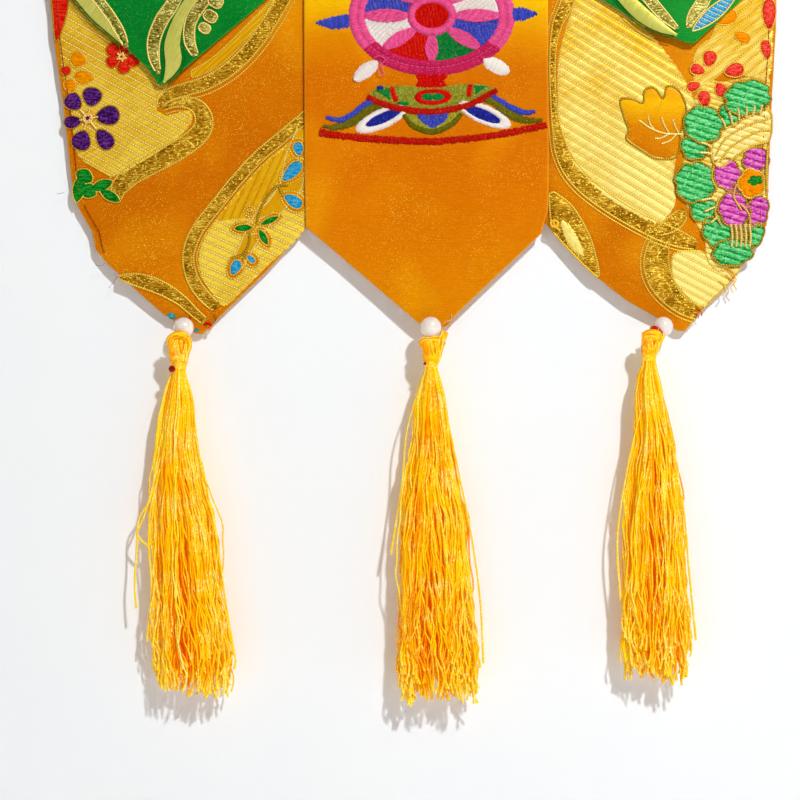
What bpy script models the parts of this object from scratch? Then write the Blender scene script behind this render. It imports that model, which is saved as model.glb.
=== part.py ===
"""An embroidered hanging banner, made as the sewn thing is made.

Three pointed cloth tongues hang side by side under one folded heading band. Two shorter green points
lie over the outer tongues. Each tongue ends in a bead, a cord loop, a wrapped neck and a tassel skirt.

The banner hangs in the XZ plane with its face towards -Y. The origin is the middle of its top edge.
Sizes in the tables are in millimetres.
"""

import math

import bmesh
import bpy
from mathutils import Quaternion, Vector

MM = 0.001
GAP = 0.3  # clearance between neighbouring pieces
OVERLAY_GAP = 0.4  # the green points stand a little further off

TONGUE_THICK = 1.2
OVERLAY_THICK = 1.0
HEADING_THICK = 1.0
HEADING_HEIGHT = 24.5
HEADING_LEFT = -138.2
HEADING_RIGHT = 124.2
HEADING_ROUNDING = 4  # straight pieces in each rounded upper fold

OUTER_PLANE = 0.4  # Y of the outer tongues' mid surface
MIDDLE_PLANE = -1.35  # the centre tongue lies over the outer ones
SHEET_TOP = -1.4  # cloth tops end just under the heading's fold
SLOT_FRONT = -2.35  # inner faces of the folded heading
SLOT_BACK = 1.45

ROW_STEP = 8.0  # largest distance between two rows of a sheet
COLUMNS = 10  # spans across a sheet

# Edge tables of the sheets, top to bottom. Columns: z, x.
TONGUE_EDGES = {
    "left": {
        "left": (
            (SHEET_TOP, -137.3),
            (-52.5, -132.0),
            (-67.0, -130.6),
            (-90.0, -127.4),
            (-118.0, -124.3),
            (-125.5, -122.1),
            (-133.7, -117.3),
            (-140.0, -116.0),
            (-145.0, -111.7),
            (-154.0, -102.0),
            (-162.4, -92.4),
            (-166.0, -86.6),
            (-169.4, -81.0),
        ),
        "right": ((SHEET_TOP, -41.0), (-131.0, -41.0), (-146.7, -55.3), (-160.3, -69.3), (-169.4, -78.6)),
    },
    "middle": {
        "left": ((SHEET_TOP, -43.2), (-115.0, -42.8), (-132.0, -42.4), (-165.6, -3.1), (-168.0, 1.9)),
        "right": (
            (SHEET_TOP, 42.0),
            (-115.0, 42.6),
            (-126.3, 42.3),
            (-134.4, 39.9),
            (-161.7, 11.2),
            (-166.6, 7.2),
            (-168.0, 4.3),
        ),
    },
    "right": {
        "left": (
            (SHEET_TOP, 41.0),
            (-130.5, 41.2),
            (-144.2, 53.9),
            (-149.8, 59.5),
            (-157.9, 70.0),
            (-163.5, 80.2),
            (-168.4, 88.0),
        ),
        "right": (
            (SHEET_TOP, 123.4),
            (-63.0, 122.2),
            (-87.5, 120.8),
            (-131.3, 119.0),
            (-137.9, 115.2),
            (-144.9, 110.6),
            (-153.0, 104.0),
            (-158.6, 98.7),
            (-168.4, 90.4),
        ),
    },
}
OVERLAY_EDGES = {
    "left": {
        "left": ((SHEET_TOP, -137.0), (-42.5, -133.4), (-77.0, -97.3), (-82.6, -93.6)),
        "right": ((SHEET_TOP, -43.6), (-42.0, -43.6), (-82.6, -91.2)),
    },
    "right": {
        "left": ((SHEET_TOP, 42.4), (-42.0, 43.2), (-52.5, 60.5), (-63.0, 78.0), (-68.2, 90.8)),
        "right": ((SHEET_TOP, 123.0), (-41.5, 122.0), (-68.2, 93.2)),
    },
}

# Soft hollows and ridges of the hanging cloth. Columns: centre x, centre z, reach in x, reach in z,
# rise (towards the viewer where it is negative).
SOFT_FOLDS = {
    "left": (
        (-118.0, -104.0, 16.0, 40.0, 0.9),
        (-92.0, -122.0, 17.0, 30.0, -1.0),
        (-112.0, -152.0, 12.0, 12.0, -0.9),
        (-78.0, -164.0, 14.0, 12.0, 0.6),
    ),
    "middle": (
        (-14.0, -104.0, 16.0, 40.0, 0.6),
        (16.0, -120.0, 15.0, 34.0, -0.7),
        (2.0, -158.0, 14.0, 10.0, -1.1),
    ),
    "right": (
        (76.0, -108.0, 15.0, 34.0, -0.9),
        (103.0, -122.0, 13.0, 30.0, 0.9),
        (66.0, -152.0, 12.0, 12.0, -1.0),
        (96.0, -160.0, 12.0, 10.0, 0.6),
    ),
}
# How far each green point stands off the tongue under it. Columns: as above.
OVERLAY_LIFT = {
    "left": ((-94.0, -84.0, 24.0, 22.0, -1.6), (-118.0, -56.0, 14.0, 14.0, -0.7)),
    "right": ((90.0, -70.0, 22.0, 18.0, -1.6), (62.0, -54.0, 14.0, 12.0, -0.7)),
}

# Beads at the tips. Columns: x, z, radius.
PEARLS = {"left": (-84.8, -167.3, 3.6), "middle": (1.2, -167.3, 3.7), "right": (82.1, -167.0, 3.5)}
PEARL_SEGMENTS = 20
PEARL_RINGS = 12

# Closed oval cords: the tassel loops and the red ring bead. Columns: centre, axis that the oval faces
# along, half width, half height, tilt in degrees (its right end down), cord radius.
OVAL_CORDS = {
    "loop_left": ((-86.5, -7.6, -172.6), (0, 1, 0), 3.2, 2.3, 20.0, 1.05),
    "loop_middle": ((1.7, -6.4, -174.1), (0, 1, 0), 3.1, 1.75, 0.0, 1.0),
    "loop_right": ((77.8, -6.9, -170.9), (0.6, 0.44, 0.68), 2.7, 1.6, 0.0, 1.05),
    "ring_right": ((79.4, -5.9, -169.2), (0.68, 0.48, 0.56), 2.2, 2.2, 0.0, 0.7),
}
OVAL_POINTS = 24

# Wrapped necks and skirts, lofted from ovals. Columns: z, centre x, half width, half depth.
NECK_ROWS = {
    "left": ((-176.35, -86.2, 3.1, 2.6), (-178.4, -86.1, 3.2, 2.6), (-182.0, -86.3, 2.6, 2.3)),
    "middle": ((-177.2, 1.6, 3.2, 2.4), (-178.6, 1.5, 3.0, 2.5), (-181.0, 1.3, 2.3, 2.1)),
    "right": ((-173.5, 77.3, 2.7, 2.3), (-175.6, 77.1, 2.8, 2.4), (-179.4, 77.0, 2.5, 2.2)),
}
SKIRT_ROWS = {
    "left": (
        (-182.3, -86.3, 2.7, 2.4),
        (-187.3, -86.5, 4.2, 3.4),
        (-194.0, -86.7, 5.7, 4.0),
        (-206.5, -87.0, 7.5, 4.6),
        (-220.5, -86.1, 9.6, 5.0),
        (-234.5, -84.4, 12.2, 5.4),
        (-262.5, -83.0, 13.4, 5.8),
        (-280.0, -81.8, 15.0, 6.2),
        (-296.5, -81.2, 13.6, 6.2),
    ),
    "middle": (
        (-181.3, 1.3, 2.6, 2.3),
        (-186.0, 1.1, 4.4, 3.4),
        (-192.5, 1.0, 6.3, 4.0),
        (-206.5, 1.4, 7.7, 4.6),
        (-220.5, 1.0, 10.4, 5.0),
        (-234.5, 2.2, 13.2, 5.4),
        (-262.5, 2.8, 14.6, 5.8),
        (-283.0, 3.6, 16.2, 6.2),
        (-299.0, 4.0, 15.4, 6.2),
    ),
    "right": (
        (-179.7, 77.0, 2.8, 2.4),
        (-184.0, 76.7, 4.4, 3.4),
        (-190.0, 77.0, 5.6, 3.8),
        (-206.5, 78.7, 7.6, 4.4),
        (-227.5, 78.4, 11.3, 5.0),
        (-248.5, 78.8, 12.0, 5.4),
        (-276.5, 79.4, 12.8, 5.8),
        (-292.0, 79.5, 12.0, 5.8),
    ),
}
TASSEL_PLANE = {"left": -5.0, "middle": -5.6, "right": -4.8}  # Y of each tassel's axis
NECK_SIDES = 16
SKIRT_SIDES = 24
SKIRT_CLUMPS = 6  # bundles of strands that stand out round a skirt
CLUMP_DEPTH = 0.07  # of the skirt's half width
CLUMP_START = 40.0  # the bundles reach their full depth this far down
CLUMP_TWIST = 0.012  # radians that the bundles turn for each millimetre down

# Columns: red, green, blue, roughness, metallic.
FINISHES = {
    "brocade": (0.62, 0.27, 0.02, 0.45, 0.3),
    "satin": (0.74, 0.24, 0.01, 0.4, 0.0),
    "green_brocade": (0.01, 0.2, 0.03, 0.45, 0.1),
    "pearl": (0.86, 0.78, 0.72, 0.2, 0.0),
    "red_bead": (0.55, 0.02, 0.02, 0.25, 0.0),
    "silk": (0.95, 0.55, 0.02, 0.5, 0.0),
}


def clear_scene():
    for item in list(bpy.data.objects):
        bpy.data.objects.remove(item)


def finish(name):
    """The shared material of one finish."""
    made = bpy.data.materials.get(name)
    if made:
        return made
    red, green, blue, roughness, metallic = FINISHES[name]
    made = bpy.data.materials.new(name)
    made.use_nodes = True
    shader = made.node_tree.nodes["Principled BSDF"]
    shader.inputs["Base Color"].default_value = (red, green, blue, 1)
    shader.inputs["Roughness"].default_value = roughness
    shader.inputs["Metallic"].default_value = metallic
    return made


def add_object(name, data, finish_name):
    data.materials.append(finish(finish_name))
    made = bpy.data.objects.new(name, data)
    bpy.context.scene.collection.objects.link(made)
    return made


def add_mesh(name, bm, finish_name, smooth=True):
    data = bpy.data.meshes.new(name)
    bm.to_mesh(data)
    bm.free()
    if smooth:
        data.shade_smooth()
    return add_object(name, data, finish_name)


def edge_at(points, z):
    """The x of an edge at height z, straight between the points of its table."""
    for (z_high, x_high), (z_low, x_low) in zip(points, points[1:]):
        if z >= z_low:
            share = (z_high - z) / (z_high - z_low)
            return x_high + share * (x_low - x_high)
    return points[-1][1]


def folds_at(folds, x, z):
    return sum(
        rise * math.exp(-(((x - x0) / reach_x) ** 2) - ((z - z0) / reach_z) ** 2)
        for x0, z0, reach_x, reach_z, rise in folds
    )


def tongue_surface(side):
    """The function that gives y on the mid surface of one tongue."""
    plane = MIDDLE_PLANE if side == "middle" else OUTER_PLANE
    return lambda x, z: plane + folds_at(SOFT_FOLDS[side], x, z)


def overlay_surface(side):
    """The mid surface of a green point follows the tongue under it, then stands off towards its tip."""
    under = tongue_surface(side)
    stand_off = (TONGUE_THICK + OVERLAY_THICK) / 2 + OVERLAY_GAP
    return lambda x, z: under(x, z) - stand_off + folds_at(OVERLAY_LIFT[side], x, z)


def row_heights(edges):
    """Every height where an edge turns, with more between them so that no step is over ROW_STEP."""
    turns = sorted({z for points in edges.values() for z, _ in points}, reverse=True)
    heights = [turns[0]]
    for z in turns[1:]:
        start = heights[-1]
        steps = math.ceil((start - z) / ROW_STEP)
        heights += [start + (z - start) * step / steps for step in range(1, steps + 1)]
    return heights


def add_sheet(name, edges, surface, thickness, finish_name):
    """A cloth sheet: rows of points between its two edge tables, given its thickness by Solidify."""
    bm = bmesh.new()
    rows = []
    for z in row_heights(edges):
        left, right = edge_at(edges["left"], z), edge_at(edges["right"], z)
        across = [left + (right - left) * column / COLUMNS for column in range(COLUMNS + 1)]
        rows.append([bm.verts.new((x * MM, surface(x, z) * MM, z * MM)) for x in across])
    for upper, lower in zip(rows, rows[1:]):
        for column in range(COLUMNS):
            bm.faces.new((upper[column], lower[column], lower[column + 1], upper[column + 1]))
    made = add_mesh(name, bm, finish_name)
    solidify = made.modifiers.new("thickness", "SOLIDIFY")
    solidify.thickness = thickness * MM
    solidify.offset = 0
    return made


def add_heading():
    """A strip folded over the tops of the panels: front leaf, rounded fold, back leaf."""
    front, back = SLOT_FRONT - HEADING_THICK, SLOT_BACK + HEADING_THICK
    radius = HEADING_THICK
    outside = [(front, -HEADING_HEIGHT)]
    for corner, start in ((front + radius, math.pi), (back - radius, math.pi / 2)):
        for step in range(HEADING_ROUNDING + 1):
            angle = start - math.pi / 2 * step / HEADING_ROUNDING
            outside.append((corner + radius * math.cos(angle), -radius + radius * math.sin(angle)))
    outside.append((back, -HEADING_HEIGHT))
    inside = [
        (SLOT_BACK, -HEADING_HEIGHT),
        (SLOT_BACK, -HEADING_THICK),
        (SLOT_FRONT, -HEADING_THICK),
        (SLOT_FRONT, -HEADING_HEIGHT),
    ]
    bm = bmesh.new()
    corners = [bm.verts.new((HEADING_LEFT * MM, y * MM, z * MM)) for y, z in outside + inside]
    end = bm.faces.new(corners)
    made = bmesh.ops.extrude_face_region(bm, geom=[end])
    moved = [item for item in made["geom"] if isinstance(item, bmesh.types.BMVert)]
    bmesh.ops.translate(bm, verts=moved, vec=((HEADING_RIGHT - HEADING_LEFT) * MM, 0, 0))
    bmesh.ops.recalc_face_normals(bm, faces=bm.faces)
    return add_mesh("heading", bm, "satin", smooth=False)


def add_pearl(side):
    """A bead just in front of the cloth near its tongue's tip."""
    x, z, radius = PEARLS[side]
    y = tongue_surface(side)(x, z) - TONGUE_THICK / 2 - GAP - radius
    bm = bmesh.new()
    bmesh.ops.create_uvsphere(bm, u_segments=PEARL_SEGMENTS, v_segments=PEARL_RINGS, radius=radius * MM)
    made = add_mesh(f"pearl_{side}", bm, "pearl")
    made.location = (x * MM, y * MM, z * MM)
    return made


def add_oval_cord(name, finish_name):
    """A cord that closes on itself in an oval, as a bevelled curve."""
    centre, facing, half_width, half_height, tilt, radius = OVAL_CORDS[name]
    axis = Vector(facing).normalized()
    turn = Quaternion(axis, math.radians(tilt))
    wide = turn @ axis.cross(Vector((0, 0, 1))).normalized()
    high = wide.cross(axis)
    data = bpy.data.curves.new(name, "CURVE")
    data.dimensions = "3D"
    data.bevel_depth = radius * MM
    data.bevel_resolution = 2
    spline = data.splines.new("POLY")
    spline.points.add(OVAL_POINTS - 1)
    for step, target in enumerate(spline.points):
        angle = 2 * math.pi * step / OVAL_POINTS
        point = Vector(centre) + half_width * math.cos(angle) * wide + half_height * math.sin(angle) * high
        target.co = (*point * MM, 1)
    spline.use_cyclic_u = True
    return add_object(name, data, finish_name)


def add_loft(name, rows, plane, sides, shape, finish_name):
    """Ovals, one for each row of the table, bridged and capped; shape gives the size factor at an angle."""
    bm = bmesh.new()
    loops = []
    for z, x, half_width, half_depth in rows:
        ring = []
        for side in range(sides):
            angle = 2 * math.pi * side / sides
            factor = shape(angle, z - rows[0][0])
            offset_x = half_width * factor * math.cos(angle)
            offset_y = half_depth * factor * math.sin(angle)
            ring.append(bm.verts.new(((x + offset_x) * MM, (plane + offset_y) * MM, z * MM)))
        loops.append(ring)
    for upper, lower in zip(loops, loops[1:]):
        for side in range(sides):
            after = (side + 1) % sides
            bm.faces.new((upper[side], upper[after], lower[after], lower[side]))
    bm.faces.new(loops[0])
    bm.faces.new(reversed(loops[-1]))
    bmesh.ops.recalc_face_normals(bm, faces=bm.faces)
    return add_mesh(name, bm, finish_name)


def plain_round(_angle, _down):
    return 1


def clumped(angle, down):
    """A skirt's bundles stand out a little, turn as they hang and are deeper lower down."""
    depth = CLUMP_DEPTH * min(1, abs(down) / CLUMP_START)
    return 1 + depth * math.sin(SKIRT_CLUMPS * (angle + CLUMP_TWIST * down))


def build():
    clear_scene()
    add_heading()
    for side, edges in TONGUE_EDGES.items():
        cloth = "satin" if side == "middle" else "brocade"
        add_sheet(f"tongue_{side}", edges, tongue_surface(side), TONGUE_THICK, cloth)
        add_pearl(side)
        add_oval_cord(f"loop_{side}", "silk")
        plane = TASSEL_PLANE[side]
        add_loft(f"neck_{side}", NECK_ROWS[side], plane, NECK_SIDES, plain_round, "silk")
        add_loft(f"skirt_{side}", SKIRT_ROWS[side], plane, SKIRT_SIDES, clumped, "silk")
    for side, edges in OVERLAY_EDGES.items():
        add_sheet(f"overlay_{side}", edges, overlay_surface(side), OVERLAY_THICK, "green_brocade")
    add_oval_cord("ring_right", "red_bead")


build()
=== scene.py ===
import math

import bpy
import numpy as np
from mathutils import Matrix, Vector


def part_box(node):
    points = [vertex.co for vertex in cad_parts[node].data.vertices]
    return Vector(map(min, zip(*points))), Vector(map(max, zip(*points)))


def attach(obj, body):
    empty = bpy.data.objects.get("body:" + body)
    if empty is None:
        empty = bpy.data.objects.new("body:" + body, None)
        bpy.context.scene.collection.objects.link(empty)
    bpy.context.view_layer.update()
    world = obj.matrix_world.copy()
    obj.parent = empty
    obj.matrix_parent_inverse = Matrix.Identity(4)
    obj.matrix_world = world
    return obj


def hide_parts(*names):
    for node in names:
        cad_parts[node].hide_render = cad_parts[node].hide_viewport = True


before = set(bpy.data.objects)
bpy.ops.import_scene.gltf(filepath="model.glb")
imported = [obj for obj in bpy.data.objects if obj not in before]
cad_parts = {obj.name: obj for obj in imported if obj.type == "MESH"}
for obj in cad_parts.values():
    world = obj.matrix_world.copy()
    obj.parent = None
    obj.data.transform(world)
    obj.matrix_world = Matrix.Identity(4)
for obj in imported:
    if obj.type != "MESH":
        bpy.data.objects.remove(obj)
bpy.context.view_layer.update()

# Looks of an embroidered hanging banner: brocade tongues under two green points, an embroidered
# middle, pearls and silk tassels. Places are in millimetres in the banner's own frame: x to the
# right, z up from the top edge, the front facing -Y. MM turns them into metres.

MM = 0.001
BODY = "root"

# ---- The cloth: cut edges as rows of (z, x) and soft folds as rows of (centre x, centre z,
# reach x, reach z, rise)

TONGUE_THICK = 1.2
OVERLAY_THICK = 1.0
OUTER_PLANE = 0.4
MIDDLE_PLANE = -1.35
OVERLAY_GAP = 0.4
SHEET_TOP = -1.4
HEADING_THICK = 1.0

TONGUE_EDGES = {
    "left": (
        ((-1.4, -137.3), (-52.5, -132), (-67, -130.6), (-90, -127.4), (-118, -124.3), (-125.5, -122.1),
         (-133.7, -117.3), (-140, -116), (-145, -111.7), (-154, -102), (-162.4, -92.4), (-166, -86.6),
         (-169.4, -81)),
        ((-1.4, -41), (-131, -41), (-146.7, -55.3), (-160.3, -69.3), (-169.4, -78.6)),
    ),
    "middle": (
        ((-1.4, -43.2), (-115, -42.8), (-132, -42.4), (-165.6, -3.1), (-168, 1.9)),
        ((-1.4, 42), (-115, 42.6), (-126.3, 42.3), (-134.4, 39.9), (-161.7, 11.2), (-166.6, 7.2),
         (-168, 4.3)),
    ),
    "right": (
        ((-1.4, 41), (-130.5, 41.2), (-144.2, 53.9), (-149.8, 59.5), (-157.9, 70), (-163.5, 80.2),
         (-168.4, 88)),
        ((-1.4, 123.4), (-63, 122.2), (-87.5, 120.8), (-131.3, 119), (-137.9, 115.2), (-144.9, 110.6),
         (-153, 104), (-158.6, 98.7), (-168.4, 90.4)),
    ),
}
OVERLAY_EDGES = {
    "left": (
        ((-1.4, -137), (-42.5, -133.4), (-77, -97.3), (-82.6, -93.6)),
        ((-1.4, -43.6), (-42, -43.6), (-82.6, -91.2)),
    ),
    "right": (
        ((-1.4, 42.4), (-42, 43.2), (-52.5, 60.5), (-63, 78), (-68.2, 90.8)),
        ((-1.4, 123), (-41.5, 122), (-68.2, 93.2)),
    ),
}
SOFT_FOLDS = {
    "left": (
        (-118, -104, 16, 40, 0.9), (-92, -122, 17, 30, -1), (-112, -152, 12, 12, -0.9),
        (-78, -164, 14, 12, 0.6),
    ),
    "middle": ((-14, -104, 16, 40, 0.6), (16, -120, 15, 34, -0.7), (2, -158, 14, 10, -1.1)),
    "right": (
        (76, -108, 15, 34, -0.9), (103, -122, 13, 30, 0.9), (66, -152, 12, 12, -1), (96, -160, 12, 10, 0.6),
    ),
}
OVERLAY_LIFT = {
    "left": ((-94, -84, 24, 22, -1.6), (-118, -56, 14, 14, -0.7)),
    "right": ((90, -70, 22, 18, -1.6), (62, -54, 14, 12, -0.7)),
}
PUCKER = 0.11
PUCKER_PITCH = 15.0
PUCKER_REACH = 5.0


def edge_at(edge, z):
    """x of a cut edge at height z."""
    rows = np.array(edge, float)
    return np.interp(-np.asarray(z, float), -rows[:, 0], rows[:, 1])


def bulge(rows, x, z):
    """Sum of the soft folds in a table."""
    total = np.zeros(np.shape(x))
    for centre_x, centre_z, reach_x, reach_z, rise in rows:
        share_x, share_z = (x - centre_x) / reach_x, (z - centre_z) / reach_z
        total = total + rise * np.exp(-(share_x**2) - share_z**2)
    return total


class Cloth:
    """One hanging sheet: its cut edges and the waved surface that everything worked on it follows."""

    def __init__(self, side, overlay=False):
        self.side = side
        self.overlay = overlay
        self.left, self.right = (OVERLAY_EDGES if overlay else TONGUE_EDGES)[side]
        self.thick = OVERLAY_THICK if overlay else TONGUE_THICK
        self.tip = self.left[-1][0]

    def pucker(self, x, z):
        """Slight waves that the sewn edges draw into the cloth."""
        left, right = TONGUE_EDGES[self.side]
        inset = np.clip(np.minimum(x - edge_at(left, z), edge_at(right, z) - x), 0, None)
        return PUCKER * np.sin(z * math.tau / PUCKER_PITCH + x * 0.05) * np.exp(-inset / PUCKER_REACH)

    def middle(self, x, z):
        """y half way through the sheet."""
        plane = MIDDLE_PLANE if self.side == "middle" else OUTER_PLANE
        y = plane + bulge(SOFT_FOLDS[self.side], x, z) + self.pucker(x, z)
        if self.overlay:
            y = y - (TONGUE_THICK + OVERLAY_THICK) / 2 - OVERLAY_GAP
            y = y + bulge(OVERLAY_LIFT[self.side], x, z)
        return y

    def lay(self, points):
        """Flat work facing -Y, with y = 0 as the cloth's face, moved onto the hanging cloth."""
        laid = np.array(points, float)
        laid[:, 1] += self.middle(laid[:, 0], laid[:, 2]) - self.thick / 2
        return laid


# ---- Curves and meshes


def smooth(points, step, closed=False):
    """Evenly spaced points on a smooth curve through the given ones, in any number of columns."""
    given = np.array(points, float)
    count = len(given)
    if closed:
        ring = np.concatenate([given[-1:], given, given[:2]])
        spans = count
    else:
        ring = np.concatenate([2 * given[:1] - given[1:2], given, 2 * given[-1:] - given[-2:-1]])
        spans = count - 1
    share = np.linspace(0, 1, 16, endpoint=False)[:, None]
    fine = []
    for i in range(spans):
        a, b, c, d = ring[i:i + 4]
        fine.append(0.5 * (2 * b + (c - a) * share + (2 * a - 5 * b + 4 * c - d) * share**2
                           + (3 * b - a - 3 * c + d) * share**3))
    fine.append(ring[spans + 1:spans + 2])
    return even(np.concatenate(fine), step)


def smooth_path(places, step):
    """A smooth line through places of (x, y, z), evenly spaced as seen from the front."""
    return smooth(np.array(places)[:, [0, 2, 1]], step)[:, [0, 2, 1]]


def even(line, step):
    """The same line with its points about a step apart; only the first two columns set distances."""
    run = np.concatenate([[0], np.cumsum(np.linalg.norm(np.diff(line[:, :2], axis=0), axis=1))])
    places = np.linspace(0, run[-1], max(3, int(round(run[-1] / step)) + 1))
    return np.stack([np.interp(places, run, column) for column in line.T], axis=1)


def runs(line):
    """Distance along a line at each of its points."""
    return np.concatenate([[0], np.cumsum(np.linalg.norm(np.diff(line, axis=0), axis=1))])


def sideways(line):
    """Unit vectors to the left of a flat line at each of its points."""
    along = np.gradient(line[:, :2], axis=0)
    along /= np.maximum(np.linalg.norm(along, axis=1, keepdims=True), 1e-9)
    return np.stack([-along[:, 1], along[:, 0]], axis=1)


def placed(along, across, centre_x, centre_z, tilt):
    """Flat points of (x, z) from a figure's own two directions, leaning by that many degrees."""
    lean = math.radians(tilt)
    return np.stack([centre_x + along * math.cos(lean) - across * math.sin(lean),
                     centre_z + along * math.sin(lean) + across * math.cos(lean)], axis=1)


def oval(centre_x, centre_z, half_x, half_z, tilt=0.0, count=64, start=0.0, end=360.0):
    """Points round an oval, or along a part of it, anticlockwise from its right end."""
    turn = np.radians(np.linspace(start, end, count, endpoint=end - start < 360))
    return placed(half_x * np.cos(turn), half_z * np.sin(turn), centre_x, centre_z, tilt)


PETAL_TURN = np.linspace(0, math.tau, 28, endpoint=False)


def petal_line(centre_x, centre_z, length, width, tilt):
    """A petal's outline: an oval that is broader at its outer end."""
    across = width / 2 * np.sin(PETAL_TURN) * (1 + 0.25 * np.cos(PETAL_TURN))
    return placed(length / 2 * np.cos(PETAL_TURN), across, centre_x, centre_z, tilt)


def leaf_line(centre_x, centre_z, length, width, tilt):
    """A leaf's outline, pointed at both ends."""
    across = width / 2 * np.sin(PETAL_TURN) * np.abs(np.sin(PETAL_TURN)) ** 0.6
    return placed(length / 2 * np.cos(PETAL_TURN), across, centre_x, centre_z, tilt)


def raised(line, rise=0.0):
    """A flat line of (x, z) as points standing that far off the cloth's face."""
    line = np.asarray(line, float)
    y = np.broadcast_to(-np.asarray(rise, float), len(line))
    return np.stack([line[:, 0], y, line[:, 1]], axis=1)


def grid_faces(rows, columns, closed=False):
    """Quads between the points of a grid; closed joins its last column to its first."""
    row = np.arange(rows - 1)[:, None] * columns
    column = np.arange(columns if closed else columns - 1)[None, :]
    after = (column + 1) % columns
    corners = (row + column, row + after, row + columns + after, row + columns + column)
    return np.stack([c.ravel() for c in corners], axis=1)


FRONT = (0, -1, 0)
LAID = (0.0, 0.5)


def tubes(paths, radii, sides, facing, arc):
    """Points and quads of round threads along many paths of equal length, shaped (threads, points, 3).
    An arc, in turns from the left side over the top, leaves the underside of a laid thread open."""
    paths = np.asarray(paths, float)
    along = np.gradient(paths, axis=1)
    along /= np.maximum(np.linalg.norm(along, axis=2, keepdims=True), 1e-9)
    facing = np.broadcast_to(np.asarray(facing, float), paths.shape)
    side = np.cross(along, facing)
    side /= np.maximum(np.linalg.norm(side, axis=2, keepdims=True), 1e-9)
    top = np.cross(side, along)
    turns = np.arange(sides) / sides if arc is None else np.linspace(arc[0], arc[1], sides)
    angle = turns * math.tau
    radii = np.broadcast_to(np.asarray(radii, float), paths.shape[:2])[:, :, None, None]
    rings = (paths[:, :, None] + radii * (side[:, :, None] * np.cos(angle)[:, None]
                                          + top[:, :, None] * np.sin(angle)[:, None]))
    count, length = paths.shape[:2]
    one = grid_faces(length, sides, closed=arc is None)
    faces = (one[None] + (np.arange(count) * length * sides)[:, None, None]).reshape(-1, 4)
    return rings.reshape(-1, 3), faces[:, ::-1]


def put(name, data):
    """Adds an object to the scene."""
    made = bpy.data.objects.new(name, data)
    bpy.context.scene.collection.objects.link(made)
    return made


class Work:
    """Pieces of geometry gathered into one joined mesh, with a finish for each face and two numbers
    for each point: tone, which varies the colour, and run, the distance along a thread."""

    def __init__(self, cloth=None):
        self.cloth = cloth
        self.points = []
        self.faces = []
        self.finishes = []
        self.tones = []
        self.runs = []
        self.count = 0
        self.names = []

    def add(self, points, faces, finish, tone=0.5, run=0.0):
        """Adds points with their faces; work on a cloth is given flat and is laid on it here."""
        points = np.asarray(points, float)
        if self.cloth:
            points = self.cloth.lay(points)
        if finish not in self.names:
            self.names.append(finish)
        self.points.append(points)
        self.faces.extend((np.asarray(faces) + self.count).tolist())
        self.finishes.extend([self.names.index(finish)] * len(faces))
        self.tones.append(np.broadcast_to(np.asarray(tone, float), len(points)))
        self.runs.append(np.broadcast_to(np.asarray(run, float), len(points)))
        self.count += len(points)

    def add_tubes(self, paths, radii, sides, finish, tone, facing=FRONT, arc=None, run=0.0):
        """Adds round threads along paths of equal length."""
        points, faces = tubes(paths, radii, sides, facing, arc)
        self.add(points, faces, finish, tone, run)

    def piece(self, name, slot, replaces=()):
        """Makes the object, rides it on the banner and hides the parts it replaces; slot is not used."""
        mesh = bpy.data.meshes.new(name)
        mesh.from_pydata((np.concatenate(self.points) * MM).tolist(), [], self.faces)
        for finish in self.names:
            mesh.materials.append(FINISHES[finish])
        mesh.polygons.foreach_set("material_index", np.array(self.finishes, np.int32))
        mesh.polygons.foreach_set("use_smooth", np.ones(len(self.faces), bool))
        for attribute, values in (("tone", self.tones), ("run", self.runs)):
            layer = mesh.attributes.new(attribute, "FLOAT", "POINT")
            layer.data.foreach_set("value", np.concatenate(values).astype(np.float32))
        mesh.update()
        piece = put(name, mesh)
        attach(piece, BODY)
        if replaces:
            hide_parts(*replaces)
        return piece


# ---- Shader expressions


FINISHES = {}


class Wire:
    """An output of a node, so that shader arithmetic reads as plain expressions."""

    def __init__(self, finish, socket):
        self.finish = finish
        self.socket = socket

    def maths(self, operation, *values):
        return self.finish.node("Math", {"operation": operation}, dict(enumerate(values)))

    def __add__(self, other):
        return self.maths("ADD", self, other)

    __radd__ = __add__

    def __sub__(self, other):
        return self.maths("SUBTRACT", self, other)

    def __rsub__(self, other):
        return self.maths("SUBTRACT", other, self)

    def __mul__(self, other):
        return self.maths("MULTIPLY", self, other)

    __rmul__ = __mul__

    def __gt__(self, other):
        return self.maths("GREATER_THAN", self, other)

    def wave(self):
        return self.maths("SINE", self)

    def clamped(self, low, high, to_low=0.0, to_high=1.0):
        """This value's place between low and high, as to_low to to_high and no further."""
        settings = {"clamp": True}
        inputs = {0: self, 1: low, 2: high, 3: to_low, 4: to_high}
        return self.finish.node("MapRange", settings, inputs)


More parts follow.
